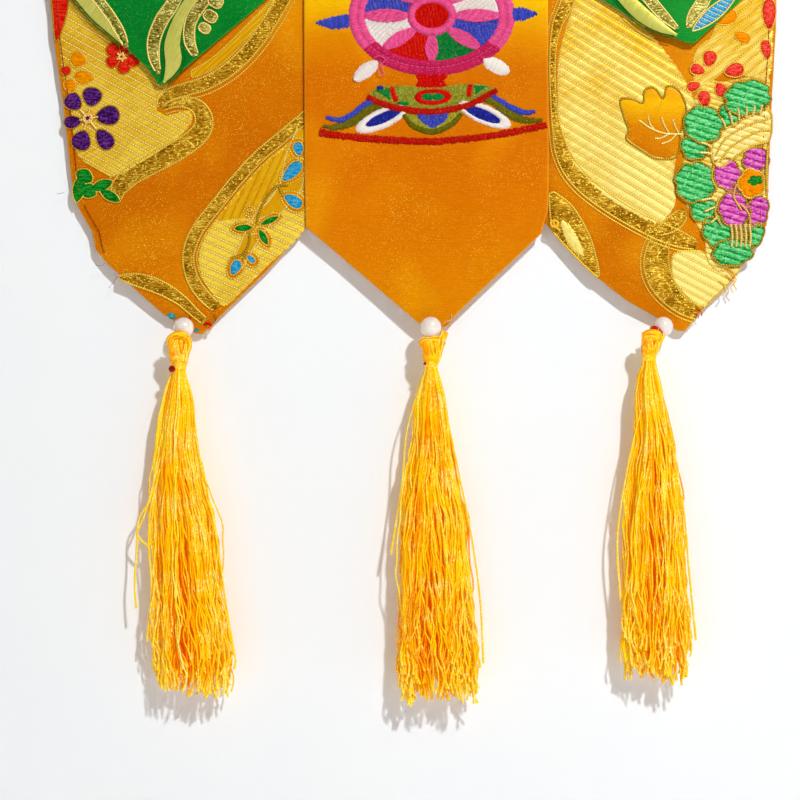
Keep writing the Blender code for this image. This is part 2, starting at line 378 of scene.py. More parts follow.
class Finish:
    """One material: a Principled shader whose varying sockets are fed by node expressions."""

    def __init__(self, name, constants=None):
        self.material = bpy.data.materials.new(name)
        self.material.use_nodes = True
        self.tree = self.material.node_tree
        self.shader = self.tree.nodes["Principled BSDF"]
        for socket, value in (constants or {}).items():
            self.shader.inputs[socket].default_value = value
        FINISHES[name] = self.material

    def node(self, kind, settings=None, inputs=None, output=0):
        """Adds any node: its settings first, then its sockets' values or links."""
        made = self.tree.nodes.new("ShaderNode" + kind)
        for setting, value in (settings or {}).items():
            if setting == "stops":
                while len(made.color_ramp.elements) < len(value):
                    made.color_ramp.elements.new(0.5)
                for stop, (place, *colour) in zip(made.color_ramp.elements, value):
                    stop.position = place
                    stop.color = rgb(*colour)
            else:
                setattr(made, setting, value)
        for socket, value in (inputs or {}).items():
            if isinstance(value, Wire):
                self.tree.links.new(value.socket, made.inputs[socket])
            else:
                made.inputs[socket].default_value = value
        return Wire(self, made.outputs[output])

    def feed(self, socket, wire):
        self.tree.links.new(wire.socket, self.shader.inputs[socket])

    def places(self, stretch=(1, 1, 1)):
        """Places on the banner in millimetres, stretched by a share along each axis."""
        made = self.node("TexCoord", output="Object")
        return self.stretched(made, tuple(share / MM for share in stretch))

    def stretched(self, vector, shares):
        return self.node("VectorMath", {"operation": "MULTIPLY"}, {0: vector, 1: shares})

    def coordinate(self, axis):
        """x, y or z in millimetres."""
        return self.node("SeparateXYZ", inputs={0: self.places()}, output=axis)

    def noise(self, size, stretch=(1, 1, 1), detail=2.0, roughness=0.5):
        """Cloudy variation from 0 to 1, with clouds of about that size in millimetres."""
        inputs = {"Vector": self.places(stretch), "Scale": 1 / size}
        inputs.update(Detail=detail, Roughness=roughness)
        return self.node("TexNoise", inputs=inputs)

    def cells(self, size, stretch=(1, 1, 1)):
        """A random number from 0 to 1 for each small cell of about that size."""
        inputs = {"Vector": self.places(stretch), "Scale": 1 / size}
        colour = self.node("TexVoronoi", {"feature": "F1"}, inputs, "Color")
        return self.node("SeparateColor", inputs={0: colour}, output=0)

    def attribute(self, name):
        return self.node("Attribute", {"attribute_name": name}, output="Fac")

    def mix(self, share, low, high, how="MIX"):
        """A colour between two others; each is a colour or a link."""
        return self.node("Mix", {"data_type": "RGBA", "blend_type": how},
                         {0: share, 6: low, 7: high}, 2)

    def colour(self, share, low, high):
        """Feeds the base colour with a mix."""
        self.feed("Base Color", self.mix(share, low, high))

    def ramp(self, value, stops):
        """Colours along a value, from rows of (place, red, green, blue)."""
        return self.node("ValToRGB", {"stops": stops}, {0: value})

    def bump(self, height, depth):
        """Feeds the normal with a height from 0 to 1 that stands for a depth in millimetres."""
        inputs = {"Height": height, "Distance": depth * MM, "Strength": 1.0}
        self.feed("Normal", self.node("Bump", inputs=inputs))


def rgb(*screen):
    """A screen colour from 0 to 255 as the shader's linear colour."""
    shares = [value / 255 for value in screen]
    return (*(v / 12.92 if v <= 0.04045 else ((v + 0.055) / 1.055) ** 2.4 for v in shares), 1.0)


# ---- Finishes

# SPARK tints the satins' specular and colours their painted glints; LUSTRE colours their painted sheen.
SPARK = rgb(255, 214, 66)
LUSTRE = rgb(250, 170, 6)
SATIN_SHADE = rgb(150, 70, 0)
WEFT_PITCH = 0.72
PLY_PITCH = 0.55


def woven_satin(name, stops, low, high, spark=SPARK, lustre=LUSTRE, drift=10.0, sparkle=0.95, matt=0.4):
    """Satin whose colour changes between two heights, with painted sheen in soft patches, fine wefts,
    painted glints of a metal yarn and a paler colour near a sheet's cut edges. The stops are rows of
    (share of the height, red, green, blue)."""
    finish = Finish(name, {"Specular IOR Level": 0.3, "Specular Tint": spark})
    height = finish.coordinate(2) + (finish.noise(26, detail=1) - 0.5) * drift
    base = finish.ramp(height.clamped(low, high), stops)
    weft = (finish.coordinate(2) * (math.tau / WEFT_PITCH)).wave() * 0.5 + 0.5
    slub = finish.noise(0.9, (0.3, 1, 1.8), 3)
    # Painted sheen: soft patches of the lustre colour where the cloth would catch the light.
    sheen = finish.noise(26, (1, 1, 0.7), 1).clamped(0.5, 0.72, 0.0, 0.42)
    shining = finish.mix(sheen, base, lustre)
    shaded = finish.mix(slub.clamped(0.3, 0.75) * 0.16, shining, SATIN_SHADE, "MULTIPLY")
    # Paler where tone is below 0.04, which on a sheet is within 0.8 mm of its cut edge.
    edge_paled = finish.mix(finish.attribute("tone").clamped(0.0, 0.04, 0.3, 0.0), shaded, spark)
    patch = finish.noise(15, detail=2).clamped(0.35, 0.7, 0.25, 1.0)
    # Painted glints: random small cells of metal yarn set bright in the spark colour.
    glint = finish.cells(0.24) > sparkle
    finish.colour(glint * patch * 0.62, edge_paled, spark)
    finish.feed("Roughness", (finish.noise(9, detail=2) - 0.5) * 0.2 + matt - glint * 0.2)
    finish.bump(weft * 0.3 + slub * 0.5 + glint * 0.3, 0.05)


def reverse_cloth(name, ground, floats, share=0.4):
    """The wrong side of a woven cloth: loose floats of the pattern's yarns over the ground."""
    finish = Finish(name, {"Roughness": 0.7, "Sheen Weight": 0.2})
    streak = finish.noise(2.2, (0.12, 1, 1.4), 3)
    patch = finish.noise(14, detail=2).clamped(0.42, 0.58)
    finish.colour(streak.clamped(0.4, 0.62) * patch * share, ground, floats)
    finish.bump(streak, 0.12)


def gold_weave(name, deep, main, light, lean, levels=(-1, 0, 0.5, 0.5)):
    """Pale metallic weft between raised ribs: tone is 0 in the furrows and 1 on the crowns. The deep
    colour is painted shade in the furrows and the light colour a painted highlight on the crowns; the
    levels are two heights and the share of painted highlight at each."""
    finish = Finish(name, {"Specular IOR Level": 0.4, "Specular Tint": main, "Metallic": 0.15})
    turned = finish.node("VectorRotate", {"rotation_type": "Y_AXIS"},
                         {"Vector": finish.places(), "Angle": math.radians(lean)})
    drawn = finish.stretched(turned, (0.22, 1, 2.8))
    streak = finish.node("TexNoise", inputs={"Vector": drawn, "Scale": 1.0, "Detail": 3.0})
    cloud = finish.noise(16, detail=1)
    crown = finish.attribute("tone")
    # Painted highlight: strongest at one height, broken by clouds and streaks, and only on the crowns.
    fall = finish.coordinate(2).clamped(*levels)
    lit = (fall + (cloud - 0.5) * 1.2 + (streak - 0.5) * 1.7).clamped(0.0, 1.0)
    base = finish.mix(crown.clamped(0.0, 0.5), deep, main)
    finish.colour(lit * crown, base, light)
    finish.feed("Roughness", (streak - 0.5) * 0.3 + 0.34)
    finish.bump(streak, 0.06)


def tinsel(name, dark, main, light):
    """Crinkled metal yarn laid across a ribbon, in flecks of three screen colours, with painted glints."""
    finish = Finish(name, {"Metallic": 0.35, "Specular IOR Level": 0.6, "Specular Tint": rgb(*light)})
    fleck = finish.noise(0.6, (0.4, 1, 1.9), 4, 0.6)
    cast = finish.noise(6, detail=1) * 0.34 - 0.17
    # Painted glints: random cells set to the light colour.
    glint = finish.cells(0.42) > 0.93
    base = finish.ramp(fleck + cast, ((0.34, *dark), (0.52, *main), (0.74, *light)))
    finish.colour(glint, base, rgb(*light))
    finish.feed("Roughness", (fleck - 0.5) * 0.5 + 0.34)
    finish.bump(fleck, 0.22)


def twisted(name, dark, light, metal=0.3):
    """Twisted cord or piled stitches: tone paints a highlight on each turn of the twist, shade between."""
    finish = Finish(name, {"Metallic": metal, "Specular IOR Level": 0.6, "Specular Tint": light})
    turn = finish.attribute("tone")
    fleck = finish.noise(0.5, detail=2)
    # Painted highlight and shade: lighter where tone is high, on each turn's swell, darker between turns.
    lit = (turn + (fleck - 0.5) * 0.7).clamped(0.15, 0.8)
    finish.colour(lit, dark, light)
    finish.feed("Roughness", fleck * 0.3 + 0.22)
    finish.bump(fleck, 0.05)


def motif_silk(name, dark, main, light):
    """Figured silk in three screen colours: glossy floats, painted shade in furrows, painted highlight on
    crowns, and painted glints.
    """
    finish = Finish(name, {"Specular IOR Level": 0.5, "Specular Tint": rgb(*light)})
    floats = finish.noise(0.9, (0.4, 1, 1.6), 3, 0.6)
    # Painted glints: random small cells set to the light colour.
    painted_glint = finish.cells(0.5) > 0.86
    # Tone adds painted highlight on crowns and domes and painted shade in furrows and at rims.
    value = floats * 0.78 + finish.attribute("tone") * 0.26
    base = finish.ramp(value, ((0.3, *dark), (0.54, *main), (0.84, *light)))
    finish.colour(painted_glint * 0.5, base, rgb(*light))
    finish.feed("Roughness", floats * 0.3 + 0.22)
    finish.bump(floats, 0.12)


def stitch_silk(name, dark, light):
    """Embroidery thread: each stitch its own tone, with the fine twist of its plies as painted shade
    in their grooves, and painted glints.
    """
    finish = Finish(name, {"Specular IOR Level": 0.45, "Specular Tint": light})
    # Painted shade: the colour darkens once per ply pitch, in the grooves of the twist.
    ply = (finish.attribute("run") * (math.tau / PLY_PITCH)).wave() * 0.5 + 0.5
    fleck = finish.noise(0.7, detail=2)
    gleam = tuple(min(1.0, value * 1.5 + 0.12) for value in light[:3]) + (1.0,)
    # Painted glints: noise patches mixed toward a paler gleam colour.
    glint = finish.noise(0.42, detail=1).clamped(0.6, 0.7, 0.0, 0.55)
    base = finish.mix((finish.attribute("tone") * 0.75 + fleck * 0.4).clamped(0.15, 0.95), dark, light)
    finish.colour(glint, finish.mix(ply * 0.16, base, dark), gleam)
    finish.feed("Roughness", fleck * 0.24 + 0.23)
    finish.bump(ply, 0.03)


def tassel_silk():
    """Rayon floss: twisted yellow strands with painted glints, painted shade where they are packed,
    and a faint orange emission as a painted glow of light through them.
    """
    # The orange emission is a painted glow, standing for light that passes through the floss.
    finish = Finish("tassel_floss", {
        "Specular IOR Level": 0.8, "Specular Tint": rgb(255, 226, 60),
        "Emission Color": rgb(255, 146, 0), "Emission Strength": 0.13,
    })
    strand = finish.attribute("tone")
    along = finish.noise(6, (1, 1, 0.4), 2)
    base = finish.ramp(strand * 0.75 + along * 0.4, FLOSS_STOPS)
    # Painted glints: bright spots where noise and the strand's tone run high.
    spark = finish.noise(0.55, (1, 1, 0.7), 2) + finish.noise(7) * 0.5 + strand * 0.2
    glint = spark.clamped(0.92, 1.06, 0.0, 0.85)
    finish.colour(glint, base, rgb(255, 250, 150))
    finish.feed("Roughness", along * 0.3 + 0.24 - glint * 0.14)
    finish.bump(finish.noise(0.4, (1, 1, 0.15), 2), 0.05)


def pearl_lustre():
    """Imitation pearl: creamy, faintly pink and green in patches, under a clear coat."""
    finish = Finish("pearl_lustre", {
        "Roughness": 0.24, "Coat Weight": 0.7, "Coat Roughness": 0.08,
        "Specular IOR Level": 0.8, "Specular Tint": rgb(255, 226, 190),
    })
    cloud = finish.noise(3.2, detail=2).clamped(0.35, 0.65)
    finish.colour(cloud, rgb(250, 243, 232), rgb(238, 229, 230))
    finish.bump(finish.noise(1.2, detail=2), 0.02)


def glazed(name, colour, deep):
    """A moulded and glazed bead."""
    finish = Finish(name, {"Coat Weight": 0.7, "Coat Roughness": 0.05})
    cloud = finish.noise(1.4, detail=2)
    finish.colour(cloud, deep, colour)
    finish.feed("Roughness", cloud * 0.1 + 0.12)
    finish.bump(finish.noise(0.6), 0.02)


def clear_thread():
    """Nylon sewing thread."""
    finish = Finish("clear_thread", {"Roughness": 0.2})
    cloud = finish.noise(1.0)
    finish.colour(cloud, rgb(214, 190, 150), rgb(244, 236, 220))
    finish.feed("Alpha", cloud * 0.2 + 0.6)


# Floss colours by tone: low stops give deep orange, partly the painted shade of packed inner strands.
FLOSS_STOPS = ((0.2, 248, 116, 0), (0.42, 255, 176, 0), (0.62, 255, 206, 0), (0.95, 255, 230, 30))
# Middle satin by height: the yellow stops at the top and the lighter orange at the tip are painted
# highlight where the cloth bends toward the light.
MIDDLE_STOPS = (
    (0.0, 226, 136, 1), (0.12, 226, 130, 0), (0.4, 220, 114, 0), (0.66, 216, 112, 0), (0.74, 228, 136, 0),
    (0.82, 250, 192, 4), (1.0, 252, 202, 6),
)
HEADING_STOPS = ((0.0, 226, 138, 4), (1.0, 240, 168, 8))
GROUND_STOPS = ((0.0, 212, 116, 0), (0.5, 206, 106, 0), (1.0, 222, 128, 0))
GREEN_STOPS = ((0.0, 0, 112, 34), (0.6, 0, 128, 44), (1.0, 0, 104, 30))
# Green points' spark (glint colour and specular tint), lustre (painted sheen colour) and roughness.
GREEN_LIGHT = {"spark": rgb(110, 210, 70), "lustre": rgb(20, 172, 58), "matt": 0.36}
MAPLE_STOPS = ((0.0, 204, 108, 0), (0.5, 222, 130, 0), (0.8, 250, 190, 4), (1.0, 228, 140, 0))
# Weaves: deep (painted furrow shade), main and light (painted crown highlight) colour, lean and levels
WEAVES = {
    "left_gold": ((174, 114, 0), (210, 152, 6), (255, 228, 80), 30, (-140, -56, 0.85, 0.26)),
    "right_gold": ((206, 146, 4), (234, 180, 28), (255, 245, 146), 30, (-128, -54, 0.98, 0.12)),
    "strip_gold": ((204, 134, 0), (220, 154, 4), (242, 194, 34), 50),
    "point_gold": ((104, 124, 22), (182, 180, 70), (236, 230, 140), 60),
}
# Cords and threads: dark and light colour (on cords, the painted shade and highlight of each turn);
# tinsels and figured silks: dark, main and light colour
CORDS = {
    "gold_cord": ((168, 104, 0), (255, 222, 84)),
    "pale_cord": ((214, 158, 26), (255, 240, 150)),
    "dark_cord": ((88, 60, 2), (216, 168, 36)),
}
TINSELS = {
    "ribbon_tinsel": ((92, 56, 0), (176, 118, 4), (255, 222, 84)),
    "point_tinsel": ((44, 44, 0), (140, 124, 26), (246, 238, 150)),
}
FIGURED_SILKS = {
    "silk_purple": ((22, 2, 34), (52, 8, 74), (126, 66, 164)),
    "silk_green": ((0, 92, 28), (4, 160, 62), (150, 244, 170)),
    "silk_leaf": ((0, 48, 8), (0, 106, 20), (50, 170, 60)),
    "silk_red": ((140, 0, 0), (208, 14, 6), (240, 70, 40)),
    "silk_rose": ((160, 10, 4), (220, 32, 20), (252, 110, 90)),
    "silk_magenta": ((126, 12, 92), (196, 36, 154), (246, 160, 228)),
    "silk_orange": ((206, 88, 0), (236, 128, 0), (250, 172, 14)),
    "silk_ochre": ((200, 94, 0), (222, 122, 0), (246, 172, 2)),
    "silk_cream": ((206, 156, 30), (244, 214, 96), (255, 248, 190)),
    "silk_blue": ((0, 84, 142), (6, 136, 192), (100, 190, 222)),
    "silk_teal": ((0, 80, 92), (14, 126, 140), (90, 196, 200)),
}
THREADS = {
    "thread_pink": ((214, 40, 108), (246, 104, 166)),
    "thread_crimson": ((168, 10, 60), (216, 44, 104)),
    "thread_red": ((182, 0, 0), (228, 16, 6)),
    "thread_brick": ((150, 4, 0), (206, 26, 2)),
    "thread_blue": ((28, 34, 140), (72, 90, 206)),
    "thread_navy": ((10, 14, 96), (38, 48, 166)),
    "thread_green": ((0, 84, 28), (10, 150, 66)),
    "thread_white": ((226, 212, 206), (252, 246, 240)),
    "thread_olive": ((74, 72, 0), (122, 114, 10)),
    "thread_moss": ((72, 74, 0), (186, 186, 60)),
    "thread_lime": ((128, 122, 14), (196, 190, 58)),
    "thread_orange": ((206, 110, 4), (246, 170, 30)),
    "thread_seam": ((110, 8, 2), (160, 24, 4)),
    "thread_dark": ((96, 4, 2), (172, 20, 6)),
    "thread_yellow": ((244, 164, 6), (255, 220, 70)),
}


def make_finishes():
    woven_satin("middle_satin", MIDDLE_STOPS, -168, -30)
    woven_satin("heading_satin", HEADING_STOPS, -30, 0)
    woven_satin("brocade_ground", GROUND_STOPS, -168, -40, sparkle=0.93)
    woven_satin("point_green", GREEN_STOPS, -84, -20, **GREEN_LIGHT)
    woven_satin("maple_satin", MAPLE_STOPS, -109, -83, drift=7.0, sparkle=0.9)
    reverse_cloth("satin_reverse", rgb(206, 124, 20), rgb(226, 160, 60))
    reverse_cloth("brocade_reverse", rgb(190, 112, 16), rgb(214, 178, 96), 0.8)
    reverse_cloth("green_reverse", rgb(20, 92, 36), rgb(150, 160, 70), 0.7)
    for name, (deep, main, light, *how) in WEAVES.items():
        gold_weave(name, rgb(*deep), rgb(*main), rgb(*light), *how)
    for make, table in ((tinsel, TINSELS), (motif_silk, FIGURED_SILKS)):
        for name, colours in table.items():
            make(name, *colours)
    for make, table in ((twisted, CORDS), (stitch_silk, THREADS)):
        for name, (dark, light) in table.items():
            make(name, rgb(*dark), rgb(*light))
    twisted("green_cord", rgb(0, 66, 12), rgb(20, 116, 34), 0.0)
    tassel_silk()
    pearl_lustre()
    glazed("ring_glaze", rgb(228, 18, 8), rgb(190, 6, 4))
    clear_thread()


# ---- Sheets

EDGE_ROUND = 0.6
EDGE_OFFSETS = (0.0, 0.12, 0.35, 0.8)
EDGE_CLEAR = 1.2
NARROW = 8.0
HEM_WIDTH = 7.0
HEM_RISE = 0.35
SHEET_CELL = 1.45


def smooth_step(value, low, high):
    share = np.clip((value - low) / (high - low), 0, 1)
    return share * share * (3 - 2 * share)


def add_closed_sheet(work, middle, normal, inset, thick, front, reverse, turned):
    """Both faces of a sheet about its middle surface, drawn together in a round edge where inset is 0;
    turned is how far the hem folded to the back stands out."""
    rows, columns = inset.shape
    depth = 1 - np.clip(inset / EDGE_ROUND, 0, 1)
    half = (thick / 2 * np.sqrt(np.clip(1 - depth**2, 0, 1)))[..., None]
    face = middle + normal * half
    back = middle - normal * half * (1 + np.asarray(turned)[..., None] / (thick / 2))
    index = np.arange(rows * columns).reshape(rows, columns)
    inner = inset.ravel() > 1e-9
    back_index = index.ravel().copy()
    back_index[inner] = rows * columns + np.arange(inner.sum())
    points = np.concatenate([face.reshape(-1, 3), back.reshape(-1, 3)[inner]])
    tone = np.concatenate([inset.ravel(), inset.ravel()[inner]]) / 20
    quads = grid_faces(rows, columns)
    start = work.count
    work.add(points, quads, front, tone)
    if reverse not in work.names:
        work.names.append(reverse)
    rear = back_index[quads][:, ::-1] + start
    work.faces.extend(rear.tolist())
    work.finishes.extend([work.names.index(reverse)] * len(rear))


def cloth_sheet(cloth, name, front, reverse, slot, node):
    """A hanging sheet with round cut edges and its hem turned to the back."""
    knots = [row[0] for row in cloth.left + cloth.right]
    offsets = np.array(EDGE_OFFSETS)
    inner = np.concatenate([np.arange(SHEET_TOP, cloth.tip, -SHEET_CELL), knots])
    inner = inner[(inner > cloth.tip + EDGE_CLEAR) & (inner < SHEET_TOP - EDGE_CLEAR)]
    z = np.unique(np.round(np.concatenate([inner, cloth.tip + offsets, SHEET_TOP - offsets]), 3))
    left, right = edge_at(cloth.left, z), edge_at(cloth.right, z)
    width = right - left
    offsets = offsets * np.minimum(1, width / NARROW)[:, None]
    columns = int(width.max() / SHEET_CELL)
    share = np.linspace(0, 1, columns)[1:-1]
    inner = (left + offsets[:, -1])[:, None] + share * (width - 2 * offsets[:, -1])[:, None]
    x = np.concatenate([left[:, None] + offsets, inner, right[:, None] - offsets[:, ::-1]], axis=1)
    z = np.broadcast_to(z[:, None], x.shape)
    sides = np.minimum(x - left[:, None], right[:, None] - x)
    inset = np.clip(np.minimum(sides, np.minimum(z - cloth.tip, SHEET_TOP - z)), 0, None)
    hem = np.minimum(sides, z - cloth.tip)
    turned = HEM_RISE * (1 - smooth_step(hem, HEM_WIDTH - 0.6, HEM_WIDTH + 0.6))
    middle = np.stack([x, cloth.middle(x, z), z], axis=2)
    work = Work()
    add_closed_sheet(work, middle, np.array(FRONT, float), inset, cloth.thick, front, reverse, turned)
    return work.piece(name, slot, [node])


HEADING_STEP = 2.4
HEADING_ARC = 8
HEADING_WAVE = 0.22
HEADING_WAVE_REACH = 9.0
HEADING_STITCHES = (3.0, 5.2)


def heading_strip():
    """The satin strip folded over the panels' tops, with both legs in one bent sheet."""
    low, high = (np.array(corner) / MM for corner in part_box("heading"))
    front, back = low[1] + HEADING_THICK / 2, high[1] - HEADING_THICK / 2
    radius = (back - front) / 2
    bend = high[2] - HEADING_THICK / 2 - radius
    leg = np.arange(low[2], bend, 1.5)
    ends = np.array(EDGE_OFFSETS)
    leg = np.unique(np.round(np.concatenate([low[2] + ends, leg[leg > low[2] + 1]]), 3))
    flat = np.zeros(len(leg))
    turn = np.linspace(math.pi, 0, HEADING_ARC + 2)[1:-1]
    centre = (front + back) / 2
    y = np.concatenate([flat + front, centre + radius * np.cos(turn), flat + back])
    z = np.concatenate([leg, bend + radius * np.sin(turn), leg[::-1]])
    out_y = np.concatenate([flat - 1, np.cos(turn), flat + 1])
    out_z = np.concatenate([flat, np.sin(turn), flat])
    inner = np.arange(low[0] + HEADING_STEP, high[0] - 1, HEADING_STEP)
    x = np.concatenate([low[0] + ends, inner, high[0] - ends[::-1]])
    run = runs(np.stack([y, z], axis=1))
    ends_inset = np.minimum(run, run[-1] - run)[:, None]
    inset = np.minimum(ends_inset, np.minimum(x - low[0], high[0] - x)[None, :])
    wave = HEADING_WAVE * np.sin(x / HEADING_WAVE_REACH)[None, :] * smooth_step(bend - z, 4, 20)[:, None]
    grid = np.broadcast_arrays(x[None, :], y[:, None] + wave, z[:, None])
    normal = np.broadcast_arrays(np.zeros(len(x)), out_y[:, None], out_z[:, None])
    work = Work()
    add_closed_sheet(work, np.stack(grid, axis=2), np.stack(normal, axis=2), np.clip(inset, 0, None),
                     HEADING_THICK, "heading_satin", "satin_reverse", np.zeros(inset.shape))
    return work.piece("heading_strip", "satin", ["heading"])


def heading_stitches(work):
    """Two rows of machine stitches near the lower edge of the folded strip."""
    low, high = (np.array(corner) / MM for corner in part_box("heading"))
    x = np.arange(low[0] + 1.2, high[0] - 1, HEADING_STEP)
    sag = HEADING_WAVE * np.sin(x / HEADING_WAVE_REACH) + low[1]
    for height in HEADING_STITCHES:
        line = np.stack([x, np.full(len(x), low[2] + height), sag], axis=1)
        stitch_row(work, line, "thread_orange", 0.22, 2.0)


def stitch_row(work, line, finish, radius=0.16, length=1.7, gap=0.5):
    """Machine stitches along rows of (x, z, face y): short threads that dive in at both ends."""
    line = even(np.asarray(line, float), 0.2)
    run = runs(line)
    starts = np.arange(0.3, run[-1] - length, length + gap)
    share = np.linspace(0, 1, 6)
    places = starts[:, None] + share * length
    x = np.interp(places, run, line[:, 0])
    z = np.interp(places, run, line[:, 1])
    y = np.interp(places, run, line[:, 2]) + 0.12 - 0.3 * np.sin(share * math.pi) ** 0.6
    run = np.tile((share * length).repeat(5), len(x))
    work.add_tubes(np.stack([x, y, z], axis=2), radius, 5, finish, 0.6, run=run)


# ---- Brocade work: flat motifs that are then laid on their cloth

CORD_STEP = 0.26
SINK = 0.12
LINES_PER_RIB = 4
DOT_PITCH = 0.95
FURROW_PITCH = 1.3


def add_rope(work, line, finish, radius=0.42, rise=0.05, twist=0.8, closed=False):
    """A twisted metal cord couched on the cloth; its turns swell, and tone paints a highlight on each turn
    and along the cord's top.
    """
    line = smooth(line, CORD_STEP, closed)
    turn = np.sin(runs(line) * math.tau / twist)
    radii = radius * (1 + 0.1 * turn)
    # Painted highlight on each turn's swell and along the top of the cord, shade between turns.
    tone = np.repeat(0.5 + 0.4 * turn, 5) * 0.8 + np.tile([0.0, 0.1, 0.2, 0.1, 0.0], len(line))
    work.add_tubes(raised(line, rise)[None], radii[None], 5, finish, tone, arc=LAID)


def crossings(outline, level):
    """Where a level line enters and leaves a closed outline, as pairs in order along it."""
    after = np.roll(outline, -1, axis=0)
    cut = (outline[:, 1] <= level) != (after[:, 1] <= level)
    a, b = outline[cut], after[cut]
    cuts = np.sort(a[:, 0] + (level - a[:, 1]) / (b[:, 1] - a[:, 1]) * (b[:, 0] - a[:, 0]))
    return zip(cuts[::2], cuts[1::2])


def turned_plane(points, lean):
    """Flat points turned by that many degrees about the origin."""
    angle = math.radians(lean)
    spin = np.array([[math.cos(angle), math.sin(angle)], [-math.sin(angle), math.cos(angle)]])
    return np.asarray(points) @ spin


def add_ribbed(work, outline, finish, lean, pitch=2.5, crown=0.2, rise=0.1, step=1.6, taper=0.5,
               dots=None, dot_radius=0.2):
    """A woven field inside an outline: crowned bands at an angle, with a dotted rib in each furrow."""
    flat = turned_plane(outline, -lean)
    gap = pitch / LINES_PER_RIB
    first = math.floor(flat[:, 1].min() / gap)
    last = math.ceil(flat[:, 1].max() / gap)
    places, heights, tones, quads = {}, [], [], []
    for line in range(first, last):
        for enter, leave in crossings(flat, (line + 0.5) * gap):
            if leave - enter < 0.25:
                continue
            inner = np.arange(math.ceil(enter / step), math.floor(leave / step) + 1) * step
            inner = inner[(inner > enter + 0.2) & (inner < leave - 0.2)]
            along = np.concatenate([[enter, leave], inner, [enter + taper, leave - taper]])
            along = np.unique(np.round(along[(along >= enter) & (along <= leave)], 3))
            rows = []
            for level in (line, line + 1):
                arch = math.sqrt(abs(math.sin(math.pi * level / LINES_PER_RIB)))
                for place in along:
                    key = (round(float(place), 3), level)
                    if key not in places:
                        places[key] = len(places)
                        edge = min(1.0, min(place - enter, leave - place) / taper)
                        heights.append((rise + crown * arch) * edge - SINK * (1 - edge))
                        # Tone is 1 on the crowns and 0 in the furrows; the finishes paint highlight and
                        # shade from it.
                        tones.append(arch)
                rows.append([places[(round(float(place), 3), level)] for place in along])
            near, far = rows
            quads += zip(near, near[1:], far[1:], far)
    if not quads:
        return
    keys = np.array(list(places), float)
    spots = turned_plane(np.stack([keys[:, 0], keys[:, 1] * gap], axis=1), lean)
    work.add(raised(spots, np.array(heights)), quads, finish, np.array(tones))
    if dots:
        for furrow in range(math.ceil(first / LINES_PER_RIB), math.floor(last / LINES_PER_RIB) + 1):
            for enter, leave in crossings(flat, furrow * pitch + 1e-4):
                if leave - enter > 2:
                    ends = ((enter + 0.3, furrow * pitch), (leave - 0.3, furrow * pitch))
                    add_dots(work, turned_plane(ends, lean), dots, dot_radius, rise + 0.04)


def add_dots(work, ends, finish, radius, rise):
    """A straight rib of small raised stitches, like a string of seeds."""
    length = float(np.linalg.norm(ends[1] - ends[0]))
    share = np.linspace(0, 1, max(4, int(length / DOT_PITCH * 4)))
    line = ends[0] + share[:, None] * (ends[1] - ends[0])
    seed = np.abs(np.sin(share * length * math.pi / DOT_PITCH))
    radii = radius * (0.5 + 0.75 * seed)
    # Tone follows each seed's swell: painted highlight on the seeds, painted shade between them.
    work.add_tubes(raised(line, rise)[None], radii[None], 4, finish, np.repeat(seed, 4), arc=LAID)


def add_dome(work, outline, finish, height=0.35, rise=0.1, lean=0.0, furrow=0.0):
    """A raised patch of floats inside a round outline, drawn in at its rim and furrowed across."""
    centre = outline.mean(axis=0)
    rings = np.array([0.0, 0.3, 0.55, 0.75, 0.9, 1.0])
    flat = centre + rings[:, None, None] * (outline - centre)[None]
    across = turned_plane(flat.reshape(-1, 2), -lean)[:, 1].reshape(flat.shape[:2])
    wave = np.abs(np.sin(across * math.pi / FURROW_PITCH))
    dome = np.sqrt(np.clip(1 - rings**2, 0, 1))[:, None]
    rim = (rings == 1)[:, None]
    rises = rise + (height * dome + furrow * (wave - 0.5)) * ~rim - 0.25 * rim
    points = raised(flat.reshape(-1, 2), rises.ravel())
    # Painted highlight and shade: tone is higher on the dome's crown, lower at its rim and in the furrows.
    tone = np.clip(0.25 + 0.5 * dome + 0.5 * (wave - 0.5), 0, 1).ravel()
    work.add(points, grid_faces(len(rings), len(outline), closed=True)[:, ::-1], finish, tone)


FIGURE_RISE = 0.42
LOBE_RISE = 0.86


def add_petal(work, outline, finish, cord="dark_cord", height=0.35, lean=0.0, furrow=0.1, radius=0.24):
    """A raised patch, over the woven field, with a fine cord couched round it."""
    add_dome(work, outline, finish, height, FIGURE_RISE, lean, furrow)
    add_rope(work, outline[::2], cord, radius, FIGURE_RISE - 0.1, closed=True)


def add_ribbon(work, rows, finish="ribbon_tinsel", cord="gold_cord", outer=(), radius=0.36, crown=0.18,
               lift=0.1):
    """A ribbon of tinsel between two twisted cords, from rows of (x, z, width). Further cords run at
    the given distances outside it: positive to its left, negative to its right."""
    line = smooth(rows, 0.7)
    side = sideways(line)
    across = np.array([-1.0, -0.75, -0.4, 0.0, 0.4, 0.75, 1.0])
    half = line[:, 2:3] / 2
    flat = line[:, None, :2] + side[:, None] * (half * across)[..., None]
    ripple = 0.06 * np.sin(runs(line[:, :2]) * 2.3)[:, None] * (1 - across**2)
    rise = lift + crown * (1 - across**2) + ripple
    points = raised(flat.reshape(-1, 2), np.broadcast_to(rise, flat.shape[:2]).ravel())
    work.add(points, grid_faces(len(line), len(across))[:, ::-1], finish, 0.5)
    for sign in (-1, 1):
        add_rope(work, (line[:, :2] + sign * side * half)[::3], cord, radius, lift + 0.02)
    for distance in outer:
        offset = half * math.copysign(1, distance) + distance
        add_rope(work, (line[:, :2] + side * offset)[::3], cord, radius * 0.8, 0.06)


